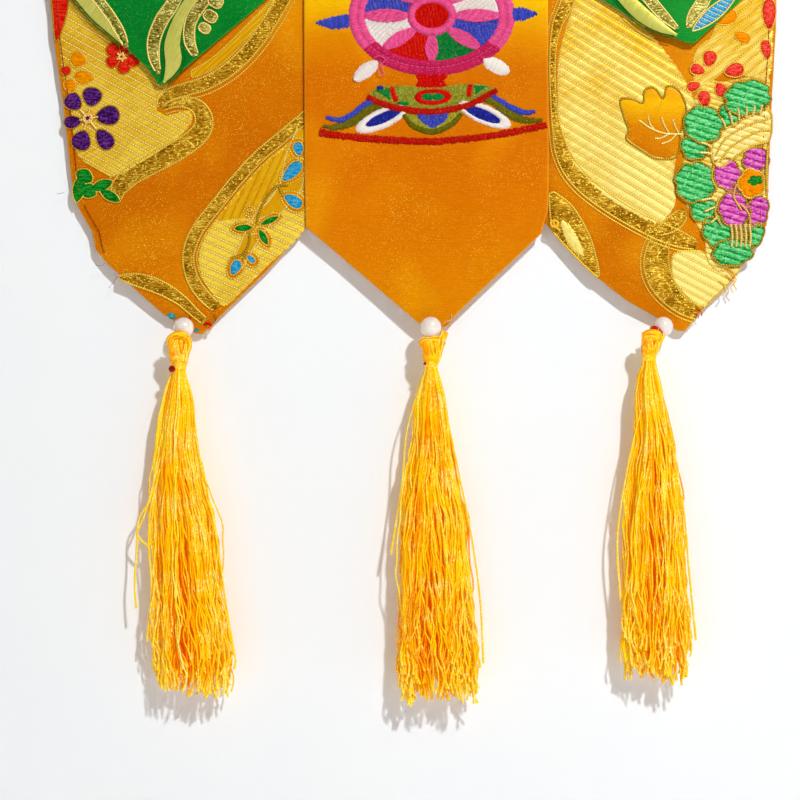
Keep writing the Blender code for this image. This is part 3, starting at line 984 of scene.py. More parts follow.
def add_inlaid_leaf(work, shape, finish, halo=1.25):
    """A small leaf on a patch of the ground colour, inside a corded outline."""
    centre = shape.mean(axis=0)
    out = shape - centre
    reach = np.maximum(np.linalg.norm(out, axis=1, keepdims=True), 1e-6)
    border = centre + out * (1 + halo / reach)
    add_dome(work, border, "silk_ochre", 0.06, FIGURE_RISE)
    add_rope(work, border[::3], "gold_cord", 0.28, FIGURE_RISE + 0.02, 0.95, closed=True)
    add_rope(work, shape[::2], "gold_cord", 0.22, FIGURE_RISE + 0.16, closed=True)
    add_dome(work, shape, finish, 0.3, FIGURE_RISE + 0.16, furrow=0.05)


def add_blossom(work, centre, petals, finish, eye):
    """A flower from rows of (x, z, length, width, tilt), with pale stamens out of its eye."""
    for x, z, length, width, tilt in petals:
        add_petal(work, petal_line(x, z, length * 1.12, width * 1.16, tilt), finish, lean=tilt + 90)
    for x, z, *_ in petals:
        tip = (np.array(centre) + 1.15 * np.array([x, z])) / 2.15
        add_rope(work, [centre, (tip + centre) / 2, tip], "pale_cord", 0.32, 0.8, 0.7)
    add_dome(work, oval(*centre, eye, eye, count=20), "silk_ochre", 0.3, 0.7)
    ring = oval(*centre, eye * 0.66, eye * 0.66, count=16)
    add_rope(work, ring, "pale_cord", 0.32, 0.9, 0.7, closed=True)
    add_dome(work, oval(*centre, eye * 0.36, eye * 0.36, count=12), finish, 0.2, 1.0)


def closed_line(points, step=0.8):
    """A smooth closed outline through the given corners, run anticlockwise."""
    line = smooth(points, step, closed=True)[:-1]
    after = np.roll(line, -1, axis=0)
    area = np.sum(line[:, 0] * after[:, 1] - after[:, 0] * line[:, 1])
    return line if area > 0 else line[::-1]


def scalloped(centre_x, centre_z, half_x, half_z, tilt=0.0, lobes=5, depth=0.13):
    """A ruffled petal's outline: an oval drawn in between its lobes."""
    turn = np.linspace(0, math.tau, 60, endpoint=False)
    line = oval(0, 0, half_x, half_z, count=len(turn))
    line = line * (1 - depth * (1 - np.abs(np.sin(turn * lobes / 2))) ** 1.6)[:, None]
    return turned_plane(line, tilt) + (centre_x, centre_z)


# Ribbons are rows of (x, z, width)
LEFT_RIBBONS = {
    "upper": (
        (-44, -42, 5.2), (-48.8, -49, 5.3), (-51.8, -54.2, 5.2), (-55.4, -60.6, 4.9), (-61, -68.6, 4.8),
        (-68, -75.8, 4.7), (-76, -81, 4.6), (-83.4, -83.6, 4.4), (-89, -85.2, 4.2), (-92.6, -87.4, 3.8),
        (-93, -90.2, 2.4),
    ),
    "hook": (
        (-92.2, -90.4, 1.6), (-88.6, -88.8, 2.6), (-84.4, -88.4, 3.6), (-80.6, -89.8, 4.8),
        (-78.2, -93.4, 5.8), (-78.6, -97.8, 6.4), (-82.2, -101.8, 6.6), (-88.6, -106, 6.8),
        (-96, -110, 6.6), (-103, -113.8, 6.4), (-107.6, -118, 5.8), (-108.6, -122, 3.2),
    ),
    "long": (
        (-41.4, -92.6, 3.8), (-50.2, -100, 4), (-59.2, -107.6, 4), (-66.6, -115.6, 4), (-74, -124.8, 4),
        (-80, -132.6, 4), (-83, -139.4, 3.9), (-83.4, -145, 3.8), (-81.6, -151, 4), (-78.2, -156, 4),
        (-73.6, -160.4, 3.4),
    ),
    "low": (
        (-107.5, -149.6, 1.2), (-103, -150.2, 3.8), (-97.4, -151.6, 4.8), (-91, -154.4, 4.4),
        (-85.6, -158, 3.6), (-81.6, -161.8, 3), (-77.6, -165.2, 2.4),
    ),
}
LEFT_OUTER_CORDS = {"upper": (1.5,), "hook": (-1.5,), "long": (1.1,), "low": ()}
LEFT_FIELD = (
    (-130, -44), (-129.4, -54), (-129.2, -66), (-127.8, -78), (-124.8, -92), (-123.4, -105), (-117, -111),
    (-108.8, -114.2), (-98, -108.6), (-88, -102), (-82.2, -95.4), (-83.4, -91), (-91.4, -92.8),
    (-94.4, -90), (-90.6, -82.4), (-92, -76), (-108, -60), (-122, -46),
)
LEFT_STRIP = (
    (-54, -52), (-60.5, -58.6), (-73, -71), (-82.6, -77.4), (-81.4, -79.6), (-72.5, -75.4), (-64.6, -68),
    (-57.4, -59.4), (-53, -52.6),
)
LEFT_CORNER = (
    (-42.2, -98), (-48.6, -102.6), (-55.5, -107.8), (-66.2, -119.6), (-75.4, -131.4), (-79.4, -139),
    (-80, -145.4), (-77.8, -151.6), (-74.6, -156.4), (-70.6, -159.6), (-64, -154), (-55.6, -145.6),
    (-42.4, -132), (-41.8, -116),
)
LEFT_BLOSSOM = (
    (-117.3, -86.4, 6, 5.8, 80), (-111.8, -93, 7.6, 5.8, 8), (-112.9, -101.2, 7.2, 5, -53),
    (-121, -101.6, 6.4, 5.8, -110), (-124, -95.2, 5.6, 3.8, 190), (-123.8, -88.2, 5.8, 5.2, 138),
)
LEFT_RED_FLOWER = (
    (-109.6, -70.2, 4.8, 4.2, 142), (-109.9, -74, 4.4, 3.6, 206), (-106.2, -75.8, 4.6, 4, 278),
    (-103.2, -73.6, 4.8, 3.8, -20), (-105.6, -69.4, 4.2, 3.8, 70),
)
LEFT_ORANGE_PETALS = ((-122, -73.4, 6, 5.2, 160), (-120, -79.6, 7, 4.6, 178), (-124.9, -82.6, 5, 4.2, 110))
LEFT_RED_MARGIN = (
    (-131.8, -44), (-126.4, -44), (-125.4, -52), (-126.4, -59), (-129, -66.4), (-130.2, -66), (-131, -56),
)
LEFT_RED_BUD = (-126.4, -77.4, 3.4, 3.6, 100)
LEFT_LEAVES = (
    (-120, -114.2, 5.6, 6.5, 60), (-121.8, -118.4, 10.4, 4.5, 80), (-118.6, -119.2, 6.4, 5.5, -30),
    (-113.8, -117.4, 8.4, 4.0, 20), (-111, -121, 8.6, 3.5, -30),
)
LEFT_INLAID = (
    ("silk_blue", -45, -104.7, 5, 3.6, 100), ("silk_blue", -47.2, -112.6, 9.2, 4.4, 46),
    ("silk_blue", -46.8, -122.9, 7.2, 4.2, -32), ("silk_leaf", -64.2, -132.4, 7, 2.6, 4),
    ("silk_leaf", -55, -129.8, 7.4, 2.2, 24), ("silk_leaf", -57.2, -135.6, 6.4, 2.6, -62),
    ("silk_blue", -67, -146.2, 5.8, 3.6, 64), ("silk_blue", -61.6, -143.2, 3.8, 2.2, -44),
)
LEFT_PLAIN = (
    (-43.4, -99.2), (-50.6, -104.6), (-57, -109.8), (-66, -120), (-73.4, -129.4), (-68, -129.6),
    (-62.4, -128.6), (-57, -122), (-51, -115), (-45.4, -106),
)
LEFT_TRAILS = (
    ((-43, -98, 5), (-46, -108, 7), (-47.6, -117, 7.6), (-52.4, -124, 6), (-57.6, -129.6, 6.4),
     (-61.4, -135.4, 5.2), (-64.4, -141.4, 4.4), (-66.4, -146, 3.4)),
    ((-66.4, -133.4, 3), (-62, -132.6, 4.2), (-57.6, -131.2, 4.4), (-51.4, -127.6, 3.6)),
)
LEFT_STEMS = (
    ((-59.6, -131.6), (-58.6, -126.6), (-55.2, -120.4), (-51.8, -117.6), (-48.6, -117.4)),
    ((-51.8, -117.6), (-50.4, -121.4)), ((-63.2, -140.4), (-64.4, -143.4)),
    ((-62, -134), (-62.4, -138), (-64.6, -141.6), (-68.6, -143)),
)
TEAL_BITS = ((-89.4, -163.1, 3.4, 2.21, -28), (-86, -164.3, 3, 1.95, 8), (-80.6, -168.1, 2, 1.43, 10))


def add_petals(work, rows, outline, finish, cord="gold_cord", height=0.35, lean=0.0):
    """Petals or leaves from rows of (x, z, length, width, tilt)."""
    for row in rows:
        add_petal(work, outline(*row), finish, cord, height, lean)


def left_brocade(cloth):
    """The figured weave of the left tongue, in meshes of fields, ribbons and blossoms."""
    fields = Work(cloth)
    add_ribbed(fields, closed_line(LEFT_FIELD), "left_gold", -29, dots="pale_cord")
    add_ribbed(fields, closed_line(LEFT_CORNER), "left_gold", -24, 2.7, dots="pale_cord")
    add_ribbed(fields, closed_line(LEFT_STRIP), "strip_gold", 42, 1.4, 0.08)
    add_ribbed(fields, closed_line(LEFT_PLAIN), "strip_gold", 66, 2.6, 0.04, 0.34)
    for trail in LEFT_TRAILS:
        add_ribbon(fields, trail, "strip_gold", "pale_cord", (), 0.26, 0.06, 0.36)
    add_rope(fields, LEFT_STRIP[:4], "gold_cord", 0.3)
    add_rope(fields, LEFT_STRIP[3:], "gold_cord", 0.26)
    ribbons = Work(cloth)
    for name, rows in LEFT_RIBBONS.items():
        add_ribbon(ribbons, rows, outer=LEFT_OUTER_CORDS[name])
    blossoms = Work(cloth)
    add_petals(blossoms, LEFT_ORANGE_PETALS, petal_line, "silk_ochre", height=0.25)
    for outline in (closed_line(LEFT_RED_MARGIN), petal_line(*LEFT_RED_BUD)):
        add_petal(blossoms, outline, "silk_red", "dark_cord", 0.15)
    add_blossom(blossoms, (-106.8, -72.5), LEFT_RED_FLOWER, "silk_red", 1.4)
    add_blossom(blossoms, (-118.7, -93.9), LEFT_BLOSSOM, "silk_purple", 2.3)
    add_petals(blossoms, LEFT_LEAVES, leaf_line, "silk_leaf", height=0.3)
    for finish, *row in LEFT_INLAID:
        shape = leaf_line if finish == "silk_leaf" else petal_line
        add_inlaid_leaf(blossoms, shape(*row), finish)
    for stem in LEFT_STEMS:
        add_rope(blossoms, stem, "dark_cord", 0.5, 0.5)
    add_inlaid_leaf(blossoms, oval(-62, -126.6, 1.3, 1, count=24), "ribbon_tinsel", 0.8)
    for row in TEAL_BITS:
        add_dome(blossoms, leaf_line(*row), "silk_teal", 0.3)
    return [fields.piece("left_gold_fields", "brocade"), ribbons.piece("left_ribbons", "brocade"),
            blossoms.piece("left_blossoms", "brocade")]


RIGHT_RIBBONS = {
    "edge": (
        (50.5, -48, 4.8), (48.4, -55, 4.4), (45.8, -60.4, 3.4), (44.2, -68, 2.2), (43.8, -78, 1.8),
        (44.2, -88, 1.9), (45.2, -97, 2.8), (47, -105, 4.6), (50.2, -111.4, 5.8), (54.8, -116.8, 6.2),
        (60.8, -121.8, 6), (67.6, -126.4, 5.8), (75, -130.6, 5.8), (82, -133.8, 6.2), (88.6, -136.4, 5.4),
        (94.4, -138.4, 3),
    ),
    "lobe": ((81, -133.6, 3), (84.6, -131.6, 5), (88, -129, 5), (90, -126, 2.8)),
    "low": (
        (81.6, -135.6, 6), (80.4, -141, 8.2), (80.2, -146, 8.8), (81.8, -151, 8.4), (85.2, -155.6, 7.4),
        (89.8, -159.4, 6.4), (95, -162.4, 4.4),
    ),
}
RIGHT_OUTER_CORDS = {"edge": (-1.2,), "lobe": (), "low": (-1.3,)}
RIGHT_FIELD = (
    (53, -46), (66, -52), (76, -62), (86, -74), (92, -84), (94, -92), (90, -100), (87.4, -107),
    (86.4, -115), (87, -123), (84.6, -128), (81, -130.8), (72.5, -127.6), (63.8, -122.4), (56.2, -115.4),
    (50.6, -108.6), (47, -99.4), (45.4, -87.5), (46, -71), (50, -57),
)
RIGHT_CORNER = (
    (86.2, -141.6), (92, -140.2), (97, -141), (99.4, -145.6), (103.2, -147.4), (109, -145.6),
    (109.2, -147.4), (104.4, -153), (98.6, -158.6), (97, -159.8), (92, -157.8), (88, -153.8), (85.6, -148),
)
RIGHT_TOP = (
    (101, -50), (112, -48), (121.4, -48), (121.2, -62), (120.2, -78), (114, -80), (104, -78), (97, -84),
    (93, -80), (94, -70), (100, -64),
)
RIGHT_LEAF = (
    (42.9, -120.4), (47, -121.6), (51.4, -125.6), (55.8, -133), (58.4, -140), (60, -149), (56.8, -147.2),
    (51.4, -141.8), (45.6, -135.4), (43.6, -132),
)
RIGHT_LEAF_HEART = (
    (46, -129.4), (49.2, -130), (53, -135.4), (55.6, -142.6), (52.4, -141.4), (48.4, -136.6),
)
MAPLE_LEAF = (
    (67.6, -87.6), (71.6, -87.4), (75.4, -88.8), (76, -84.4), (79.4, -83.4), (82.6, -87.2), (84, -82.8),
    (88.2, -84.6), (90.6, -91), (88.6, -99), (87.4, -107.2), (80.4, -108.2), (75.4, -105.6), (69.6, -101.4),
    (70.4, -98.4), (68.6, -93),
)
MAPLE_VEINS = (
    ((88.8, -99.6), (83, -99.4), (78, -97.6), (74, -94.8)), ((84.6, -99.4), (83, -96.8), (81.8, -93.6)),
    ((88, -99.4), (86.8, -97.2), (85.8, -94.4)), ((79.4, -98.2), (77.8, -96), (77, -93)),
    ((84.4, -99.6), (81.8, -101), (79.6, -101.2)), ((87, -99.8), (84.6, -102), (81.8, -103)),
)
PEONY_BASE = (
    (96, -82), (104, -81), (112, -79.6), (119.8, -79.4), (119.2, -100), (118.8, -126), (117.2, -134),
    (112, -142), (104, -147), (98, -144), (97, -136), (92, -127), (88.6, -118), (89.6, -108), (90.4, -98),
)
PEONY_GREEN = (
    (112, -86.8, 8.6, 6.4, 10, 8), (106.2, -92.2, 4.2, 5.4, -20, 5), (93.6, -103.8, 5.2, 5, -10, 5),
    (96.6, -96.2, 7.4, 6.6, -20, 7), (96.8, -125.6, 5.2, 5, -30, 5), (93.8, -116.4, 7.6, 7.4, 10, 8),
    (101.8, -134, 5.2, 6.4, 40, 6), (107, -140.8, 7.4, 5, 6, 7), (115, -134.8, 2.8, 4.8, -20, 4),
)
PEONY_CREAM = (
    (99.4, -104.6), (102.4, -99.4), (108, -95.6), (114, -92.6), (119.8, -91), (120, -101), (114.6, -103.4),
    (108.4, -107), (103.6, -110.6), (100.4, -109.6),
)
PEONY_MAGENTA = (
    (115, -108.4, 4.8, 4.6, 20, 5), (105.2, -113.6, 5, 6.4, 30, 5), (109.6, -120.4, 3.4, 4.6, 20, 4),
    (107.4, -126, 5.6, 6.4, 24, 6), (115.6, -126.4, 4, 6, -10, 5),
)
PEONY_RAYS = (
    ((104.4, -97.6), (102.8, -94)), ((106.6, -96), (105.6, -91.8)), ((109, -94.8), (108.6, -90.6)),
    ((111.4, -93.8), (111.6, -90)), ((113.8, -93), (114.4, -89.6)), ((116.2, -92.4), (117, -89.4)),
    ((99.4, -104), (95.6, -102.4)), ((99.4, -106.4), (95.4, -106)), ((99.8, -122), (96, -122.6)),
    ((100.6, -125), (97, -126.6)), ((101.8, -128), (99.4, -130.4)),
)
PEONY_LARGE = 5.4
PEONY_CREAM_FOLDS = (
    ((101, -107), (104, -101.6), (109, -98), (115, -95.4), (119.6, -94.2)),
    ((102.6, -109), (106, -104.4), (111, -101), (116, -98.6), (119.8, -98)),
)
PEONY_FOLDS = (
    ((100.2, -110.8), (99.6, -114.8), (101.6, -119)), ((109.8, -124), (112.4, -127.4), (113, -132)),
    ((108.2, -117), (107.2, -121.2), (109.8, -126)), ((119, -104), (118.6, -112), (119, -120)),
    ((102, -122), (100.8, -127), (103, -131.4)),
)
PEONY_STAMENS = (106.2, 107.8, 109.4, 111, 112.6)
RED_PETALS = (
    (97, -87.2, 6, 4.4, 100), (102.8, -84, 5.4, 4.4, -60), (93.2, -82.8, 5, 3.6, 200),
    (98.8, -73.2, 6, 4.8, 80), (107.4, -77.2, 7, 5, 12), (94.6, -77, 5.4, 4, 160),
    (119.6, -57.6, 11, 4.8, 90), (118.6, -70, 7, 3.6, 100),
)
ORANGE_SPOTS = ((104.6, -58.8, 8, 5, 20), (110.2, -65.6, 6, 4, -30))


def right_brocade(cloth):
    """The figured weave of the right tongue: pale fields, ribbons, an orange leaf and a peony."""
    fields = Work(cloth)
    fine_dots = {"dots": "pale_cord", "dot_radius": 0.17}
    add_ribbed(fields, closed_line(RIGHT_FIELD), "right_gold", -31, 2.9, 0.22, **fine_dots)
    add_ribbed(fields, closed_line(RIGHT_CORNER), "right_gold", -27, 2.6, **fine_dots)
    add_ribbed(fields, closed_line(RIGHT_TOP), "right_gold", 40, 3.0, 0.3, dots="gold_cord")
    add_rope(fields, closed_line(RIGHT_CORNER)[::3], "gold_cord", 0.3, closed=True)
    ribbons = Work(cloth)
    for name, rows in RIGHT_RIBBONS.items():
        add_ribbon(ribbons, rows, outer=RIGHT_OUTER_CORDS[name])
    add_petal(ribbons, closed_line(RIGHT_LEAF), "ribbon_tinsel", "gold_cord", 0.3, radius=0.4)
    add_petal(ribbons, closed_line(RIGHT_LEAF_HEART), "right_gold", "gold_cord", 0.5, radius=0.34)
    blossoms = Work(cloth)
    maple = closed_line(MAPLE_LEAF, 0.7)
    add_petal(blossoms, maple, "maple_satin", "dark_cord", 0.1, furrow=0.0, radius=0.38)
    for vein in MAPLE_VEINS:
        add_rope(blossoms, vein, "pale_cord", 0.34, 0.62)
    add_petals(blossoms, RED_PETALS, petal_line, "silk_rose", lean=30)
    add_petals(blossoms, ORANGE_SPOTS, petal_line, "silk_orange")
    peony = Work(cloth)
    add_ribbed(peony, closed_line(PEONY_BASE), "right_gold", -17, 1.8, 0.12, 0.16, step=1.2)
    cream = closed_line(PEONY_CREAM)
    add_ribbed(peony, cream, "silk_cream", -17, 2.2, 0.3, 0.5)
    add_rope(peony, cream[::3], "gold_cord", 0.36, 0.6, closed=True)
    for ray in PEONY_RAYS:
        middle = (np.array(ray[0]) + ray[1]) / 2 + (0.2, 0.1)
        add_rope(peony, [ray[0], middle, ray[1]], "pale_cord", 0.4, 1.25)
    for petals, finish in ((PEONY_GREEN, "silk_green"), (PEONY_MAGENTA, "silk_magenta")):
        for x, z, half_x, half_z, tilt, lobes in petals:
            rise = LOBE_RISE if half_x > PEONY_LARGE else FIGURE_RISE
            add_cushion(peony, scalloped(x, z, half_x, half_z, tilt, lobes), finish, -17, rise)
    eye = scalloped(113.4, -116.8, 4.8, 5.2, 0, 5)
    add_dome(peony, eye, "silk_orange", 0.3, 1.2)
    add_rope(peony, eye[::3], "gold_cord", 0.36, 1.2, closed=True)
    add_dome(peony, scalloped(114.6, -115.8, 3, 2, 10, 5, 0.3), "silk_leaf", 0.2, 1.45)
    for folds, rise in ((PEONY_CREAM_FOLDS, 0.84), (PEONY_FOLDS, 1.3)):
        for fold in folds:
            add_rope(peony, fold, "gold_cord", 0.36, rise)
    for x in PEONY_STAMENS:
        add_rope(peony, [(x, -131), (x + 0.5, -135), (x + 0.2, -139)], "pale_cord", 0.42, 1.3)
    return [fields.piece("right_gold_fields", "brocade"), ribbons.piece("right_ribbons", "brocade"),
            blossoms.piece("right_blossoms", "brocade"), peony.piece("right_peony", "brocade")]


def add_cushion(work, outline, finish, lean, rise):
    """A large petal woven in slanting ribs, inside a stout cord."""
    add_ribbed(work, outline, finish, lean, 2.2, 0.3, rise, step=0.9, taper=0.7)
    add_rope(work, outline[::3], "dark_cord", 0.34, rise + 0.1, 0.9, closed=True)


POINT_RIBBONS = {
    "left": (
        ("point_gold", (
            (-130, -34, 3), (-124.6, -46, 5), (-119.4, -52.6, 5.6), (-114.6, -58.2, 5.4),
            (-110, -63.4, 3.6), (-106.2, -68.4, 1),
        )),
        ("point_tinsel", (
            (-124, -38, 2), (-118.6, -48, 3), (-114.2, -53.6, 3.2), (-110.2, -59, 3.2), (-107, -64.4, 3),
            (-104.8, -69.6, 1.6),
        )),
        ("point_tinsel", (
            (-82, -30, 2), (-84.6, -42, 3.6), (-88.4, -53.4, 4.4), (-92.4, -59.6, 4.6), (-95.2, -66.8, 4.4),
            (-95.2, -73, 3.6), (-93.4, -79, 1.4),
        )),
        ("point_gold", (
            (-72, -36, 2), (-78, -46, 3.4), (-83.4, -54, 4), (-87, -61, 4.6), (-88.8, -68.4, 5.8),
            (-88.4, -74.4, 6), (-90, -79, 3.4), (-91.8, -82, 0.8),
        )),
        ("point_tinsel", (
            (-68, -42, 2), (-74, -49, 3.4), (-79.2, -54.8, 4), (-82.6, -61, 3.8), (-82.8, -67.6, 3.6),
            (-80.6, -72.6, 2),
        )),
    ),
    "right": (
        ("point_gold", (
            (56, -34, 2), (62, -44, 4), (69.4, -52.6, 5.4), (75.4, -58.4, 5.6), (81.4, -62.6, 4),
            (87, -65.4, 1),
        )),
        ("point_tinsel",
         ((68, -36, 2), (72.4, -46, 3.4), (77.8, -53.2, 3.8), (82.4, -58.6, 3.4), (87.4, -63.4, 1.2))),
        ("point_tinsel",
         ((104, -36, 2), (98, -46, 4), (96.4, -53, 4.4), (92.6, -58.6, 3.4), (90.8, -63, 1.2))),
    ),
}
POINT_SCALLOPS = ((-76.4, -47.4, 3), (-73.8, -53.4, 2.8), (-75.6, -58.6, 2.6), (-77.6, -62.8, 2.2))
POINT_LEAF = (100.2, -57.4, 20, 4.8, 40)


def point_brocade(cloth, side):
    """Gold scrolls woven on a green point."""
    work = Work(cloth)
    for finish, rows in POINT_RIBBONS[side]:
        if finish == "point_gold":
            add_ribbon(work, rows, finish, "green_cord", (0.9, -0.9), 0.22)
        else:
            add_ribbon(work, rows, finish, "pale_cord", (), 0.3)
    if side == "left":
        for x, z, size in POINT_SCALLOPS:
            outline = scalloped(x, z, size, size * 0.8, -30, 4)
            add_petal(work, outline, "point_tinsel", "pale_cord", 0.25, radius=0.3)
    else:
        leaf = leaf_line(*POINT_LEAF)
        add_ribbed(work, leaf, "silk_blue", -24, 1.7, 0.2, step=1.0, dots="pale_cord", dot_radius=0.14)
        add_rope(work, leaf[::2], "pale_cord", 0.28, closed=True)
    return [work.piece(f"point_{side}_scrolls", "green_brocade")]


# ---- Embroidery: real threads, arched over their padding

STITCH_GAP = 0.36
STITCH_SPANS = 4


def add_stitches(work, starts, ends, finish, seed, radius=0.21, dome=0.3, rise=0.06, stray=0.12):
    """Threads from each start to its end, in flat (x, z), arched and diving into the cloth."""
    draw = np.random.default_rng(seed)
    starts = np.asarray(starts, float)
    ends = np.asarray(ends, float)
    pull = (ends - starts) / np.maximum(np.linalg.norm(ends - starts, axis=1, keepdims=True), 1e-6)
    starts = starts - pull * draw.uniform(-stray, stray * 2, (len(starts), 1))
    ends = ends + pull * draw.uniform(-stray, stray * 2, (len(ends), 1))
    share = np.linspace(0, 1, STITCH_SPANS + 1)
    flat = starts[:, None] + share[:, None] * (ends - starts)[:, None]
    reach = np.linalg.norm(ends - starts, axis=1)[:, None]
    arch = np.sin(share * math.pi) ** 0.6
    lift = rise + arch * (dome + 0.04 * draw.standard_normal((len(starts), 1))) - 0.2 * (arch < 0.01)
    paths = np.stack([flat[..., 0], -lift, flat[..., 1]], axis=2)
    tones = draw.uniform(0.35, 0.8, len(starts)).repeat(4 * len(share))
    run = (share * reach).repeat(4, axis=1).ravel()
    work.add_tubes(paths, radius, 4, finish, tones, arc=LAID, run=run)


def add_satin_band(work, one, other, finish, seed, **how):
    """Satin stitch from one edge line to the other."""
    lengths = [runs(line) for line in (one, other)]
    share = np.linspace(0, 1, max(3, int((lengths[0][-1] + lengths[1][-1]) / 2 / STITCH_GAP)))
    starts, ends = (np.stack([np.interp(share * run[-1], run, column) for column in line.T], axis=1)
                    for line, run in zip((one, other), lengths))
    add_stitches(work, starts, ends, finish, seed, **how)


def both_edges(rows):
    """The left and right edges of a smooth stroke, from rows of (x, z, width)."""
    line = smooth(rows, 0.5)
    side = sideways(line) * line[:, 2:3] / 2
    return line[:, :2] + side, line[:, :2] - side


def add_satin_stroke(work, rows, finish, seed, **how):
    """Satin stitch across a line, from rows of (x, z, width)."""
    add_satin_band(work, *both_edges(rows), finish, seed, **how)


def add_filling(work, outline, lean, finish, seed, longest=99.0, gap=STITCH_GAP, **how):
    """Stitches side by side at an angle across an outline, broken where they would be too long."""
    flat = turned_plane(outline, -lean)
    levels = np.arange(flat[:, 1].min() + gap / 2, flat[:, 1].max(), gap)
    starts, ends = [], []
    for row, level in enumerate(levels):
        for enter, leave in crossings(flat, level):
            parts = max(1, math.ceil((leave - enter) / longest))
            marks = np.linspace(enter, leave, parts + 1)
            if parts > 1:
                marks[1:-1] += (row % 3 - 1) * longest * 0.3
            starts += [(mark, level) for mark in marks[:-1]]
            ends += [(mark, level) for mark in marks[1:]]
    if starts:
        add_stitches(work, turned_plane(starts, lean), turned_plane(ends, lean), finish, seed, **how)


WHEEL = (1.6, -58.4)
RIM_OUTER = (28.9, 20.9)
RIM_SEAM = (26.1, 18.1)
RIM_INNER = (23.3, 15.6)
HUB_OUTER = (8.4, 7.0)
HUB_INNER = (6.0, 4.5)
SPOKES = 8
SECTORS = ("thread_white", "thread_red", "thread_green", "thread_blue") * 2
SPOKE_WIDTH = 2.0
SPOKE_SWELL = 2.6


def wheel_line(half, start=0.0, end=360.0, count=96):
    return oval(*WHEEL, *half, 0, count, start, end)


def add_rim(work):
    """Two bands of satin stitch with a line of small stitches in the seam between them."""
    for start, end, finish in ((-34, 214, "thread_pink"), (214, 326, "thread_crimson")):
        edges = [wheel_line(half, start, end) for half in (RIM_OUTER, RIM_SEAM, RIM_INNER)]
        add_satin_band(work, edges[0], edges[1], finish, 11, dome=0.5, stray=0.1)
        add_satin_band(work, edges[1], edges[2], finish, 12, dome=0.45, stray=0.1)
    seam = wheel_line(RIM_SEAM, 0, 359.9, 180)
    stitch_row(work, np.column_stack([seam, np.full(len(seam), -0.16)]), "thread_pink", 0.15, 1.3, 0.5)


def add_wheel():
    """The eight-spoked wheel: coloured sectors, pink spokes, a corded rim and hub."""
    work = Work(Cloth("middle"))
    for sector, finish in enumerate(SECTORS):
        start, end = (np.array([sector, sector + 1]) - 4) * 360 / SPOKES + 360
        outer = wheel_line(np.array(RIM_INNER) + 0.3, start + 3, end - 3, 24)
        inner = wheel_line(HUB_OUTER, start + 6, end - 6, 12)
        outline = np.concatenate([outer, inner[::-1]])
        lean = 0 if finish in ("thread_green", "thread_white") else 62
        add_filling(work, outline, lean, finish, 20 + sector, 2.1, 0.41, dome=0.16, rise=0.04)
    for spoke in range(SPOKES):
        angle = math.radians(spoke * 360 / SPOKES)
        direction = np.array([math.cos(angle), math.sin(angle)])
        hub, rim = (WHEEL + direction * half for half in (HUB_OUTER, RIM_INNER))
        rows = [(*(hub + share * (rim - hub)), SPOKE_WIDTH + SPOKE_SWELL * math.sin(math.pi * share))
                for share in (0.0, 0.25, 0.5, 0.75, 1.0)]
        one, other = both_edges(rows)
        outline = np.concatenate([one, other[::-1]])
        lean = spoke * 360 / SPOKES + 12
        add_filling(work, outline, lean, "thread_pink", 40 + spoke, 3.4, dome=0.3, rise=0.36)
    add_rim(work)
    hub = [wheel_line(half, 0, 359.9, 60) for half in (HUB_OUTER, HUB_INNER)]
    add_satin_band(work, *hub, "thread_pink", 50, dome=0.7, rise=0.4)
    eye = wheel_line(HUB_INNER, 0, 360, 48)
    add_filling(work, eye, 40, "thread_red", 51, 1.7, 0.44, dome=0.22, rise=0.2)
    return work


# Handles: centre x, centre z, half length, half width, tilt
WHITE_HANDLES = (
    (-21.4, -77.6, 5.2, 2.3, 38), (24.2, -76, 5, 2.4, -26), (-21.6, -39.6, 5, 2.3, -38),
    (24.6, -40.4, 5, 2.3, 34),
)
BLUE_HANDLES = (
    (((-38.6, -60.8), (-33, -58.7), (-27.4, -58)), ((-38.6, -61), (-33, -62.9), (-27.4, -62.5))),
    (((38.3, -57.5), (34.2, -55.9), (29.8, -55.6)), ((38.3, -57.7), (34.2, -59.7), (29.8, -60.1))),
    (((1.6, -27.4), (-0.4, -32), (-0.6, -37.4)), ((1.8, -27.4), (3.6, -32), (3.8, -37.4))),
)
STEM = ((-3.5, -78.9), (6.4, -78.9), (6, -81), (6.2, -83.4), (-3.2, -83.4), (-2.9, -81))
BOAT = (
    (-17.2, -83.5), (-9, -82.8), (-2, -83.5), (5, -83.4), (12, -82.4), (20.8, -82.8), (23.6, -85),
    (17, -88.6), (9.2, -90.8), (1.6, -91.6), (-8.8, -91.2), (-14.6, -89.6), (-20.2, -86.8),
)
BOAT_RIM = (
    (-20.8, -86.7, 1.6), (-15.4, -89.2, 2), (-9.9, -90.7, 2.1), (1.6, -92, 2.1), (13.7, -89.9, 2),
    (19, -87.4, 1.9), (24.2, -84.5, 1.5),
)
BOAT_TRIANGLES = (((-18, -84.6), (-13, -83.7), (-13, -87.4)), ((16.5, -82.8), (20.7, -83.1), (17, -85.9)))
BOAT_BANDS = (
    ((-12.6, -83.5, 2.2), (-11.6, -86, 2.2), (-10.8, -88.2, 2)),
    ((15, -82.6, 1.8), (14.8, -84.6, 2), (14.4, -86.6, 1.8)),
)
BOAT_RING = (2.0, -86.8)
BLUE_WINGS = (
    ((-35.1, -94, 0.7), (-30.2, -94.7, 1.6), (-26, -92.8, 1.7), (-22.2, -89.7, 1.5), (-18.8, -88, 1.2)),
    ((22.3, -86.3, 1.2), (26, -88.5, 1.6), (30.3, -91, 1.7), (34, -92.2, 1.6), (37.6, -91.8, 0.7)),
)
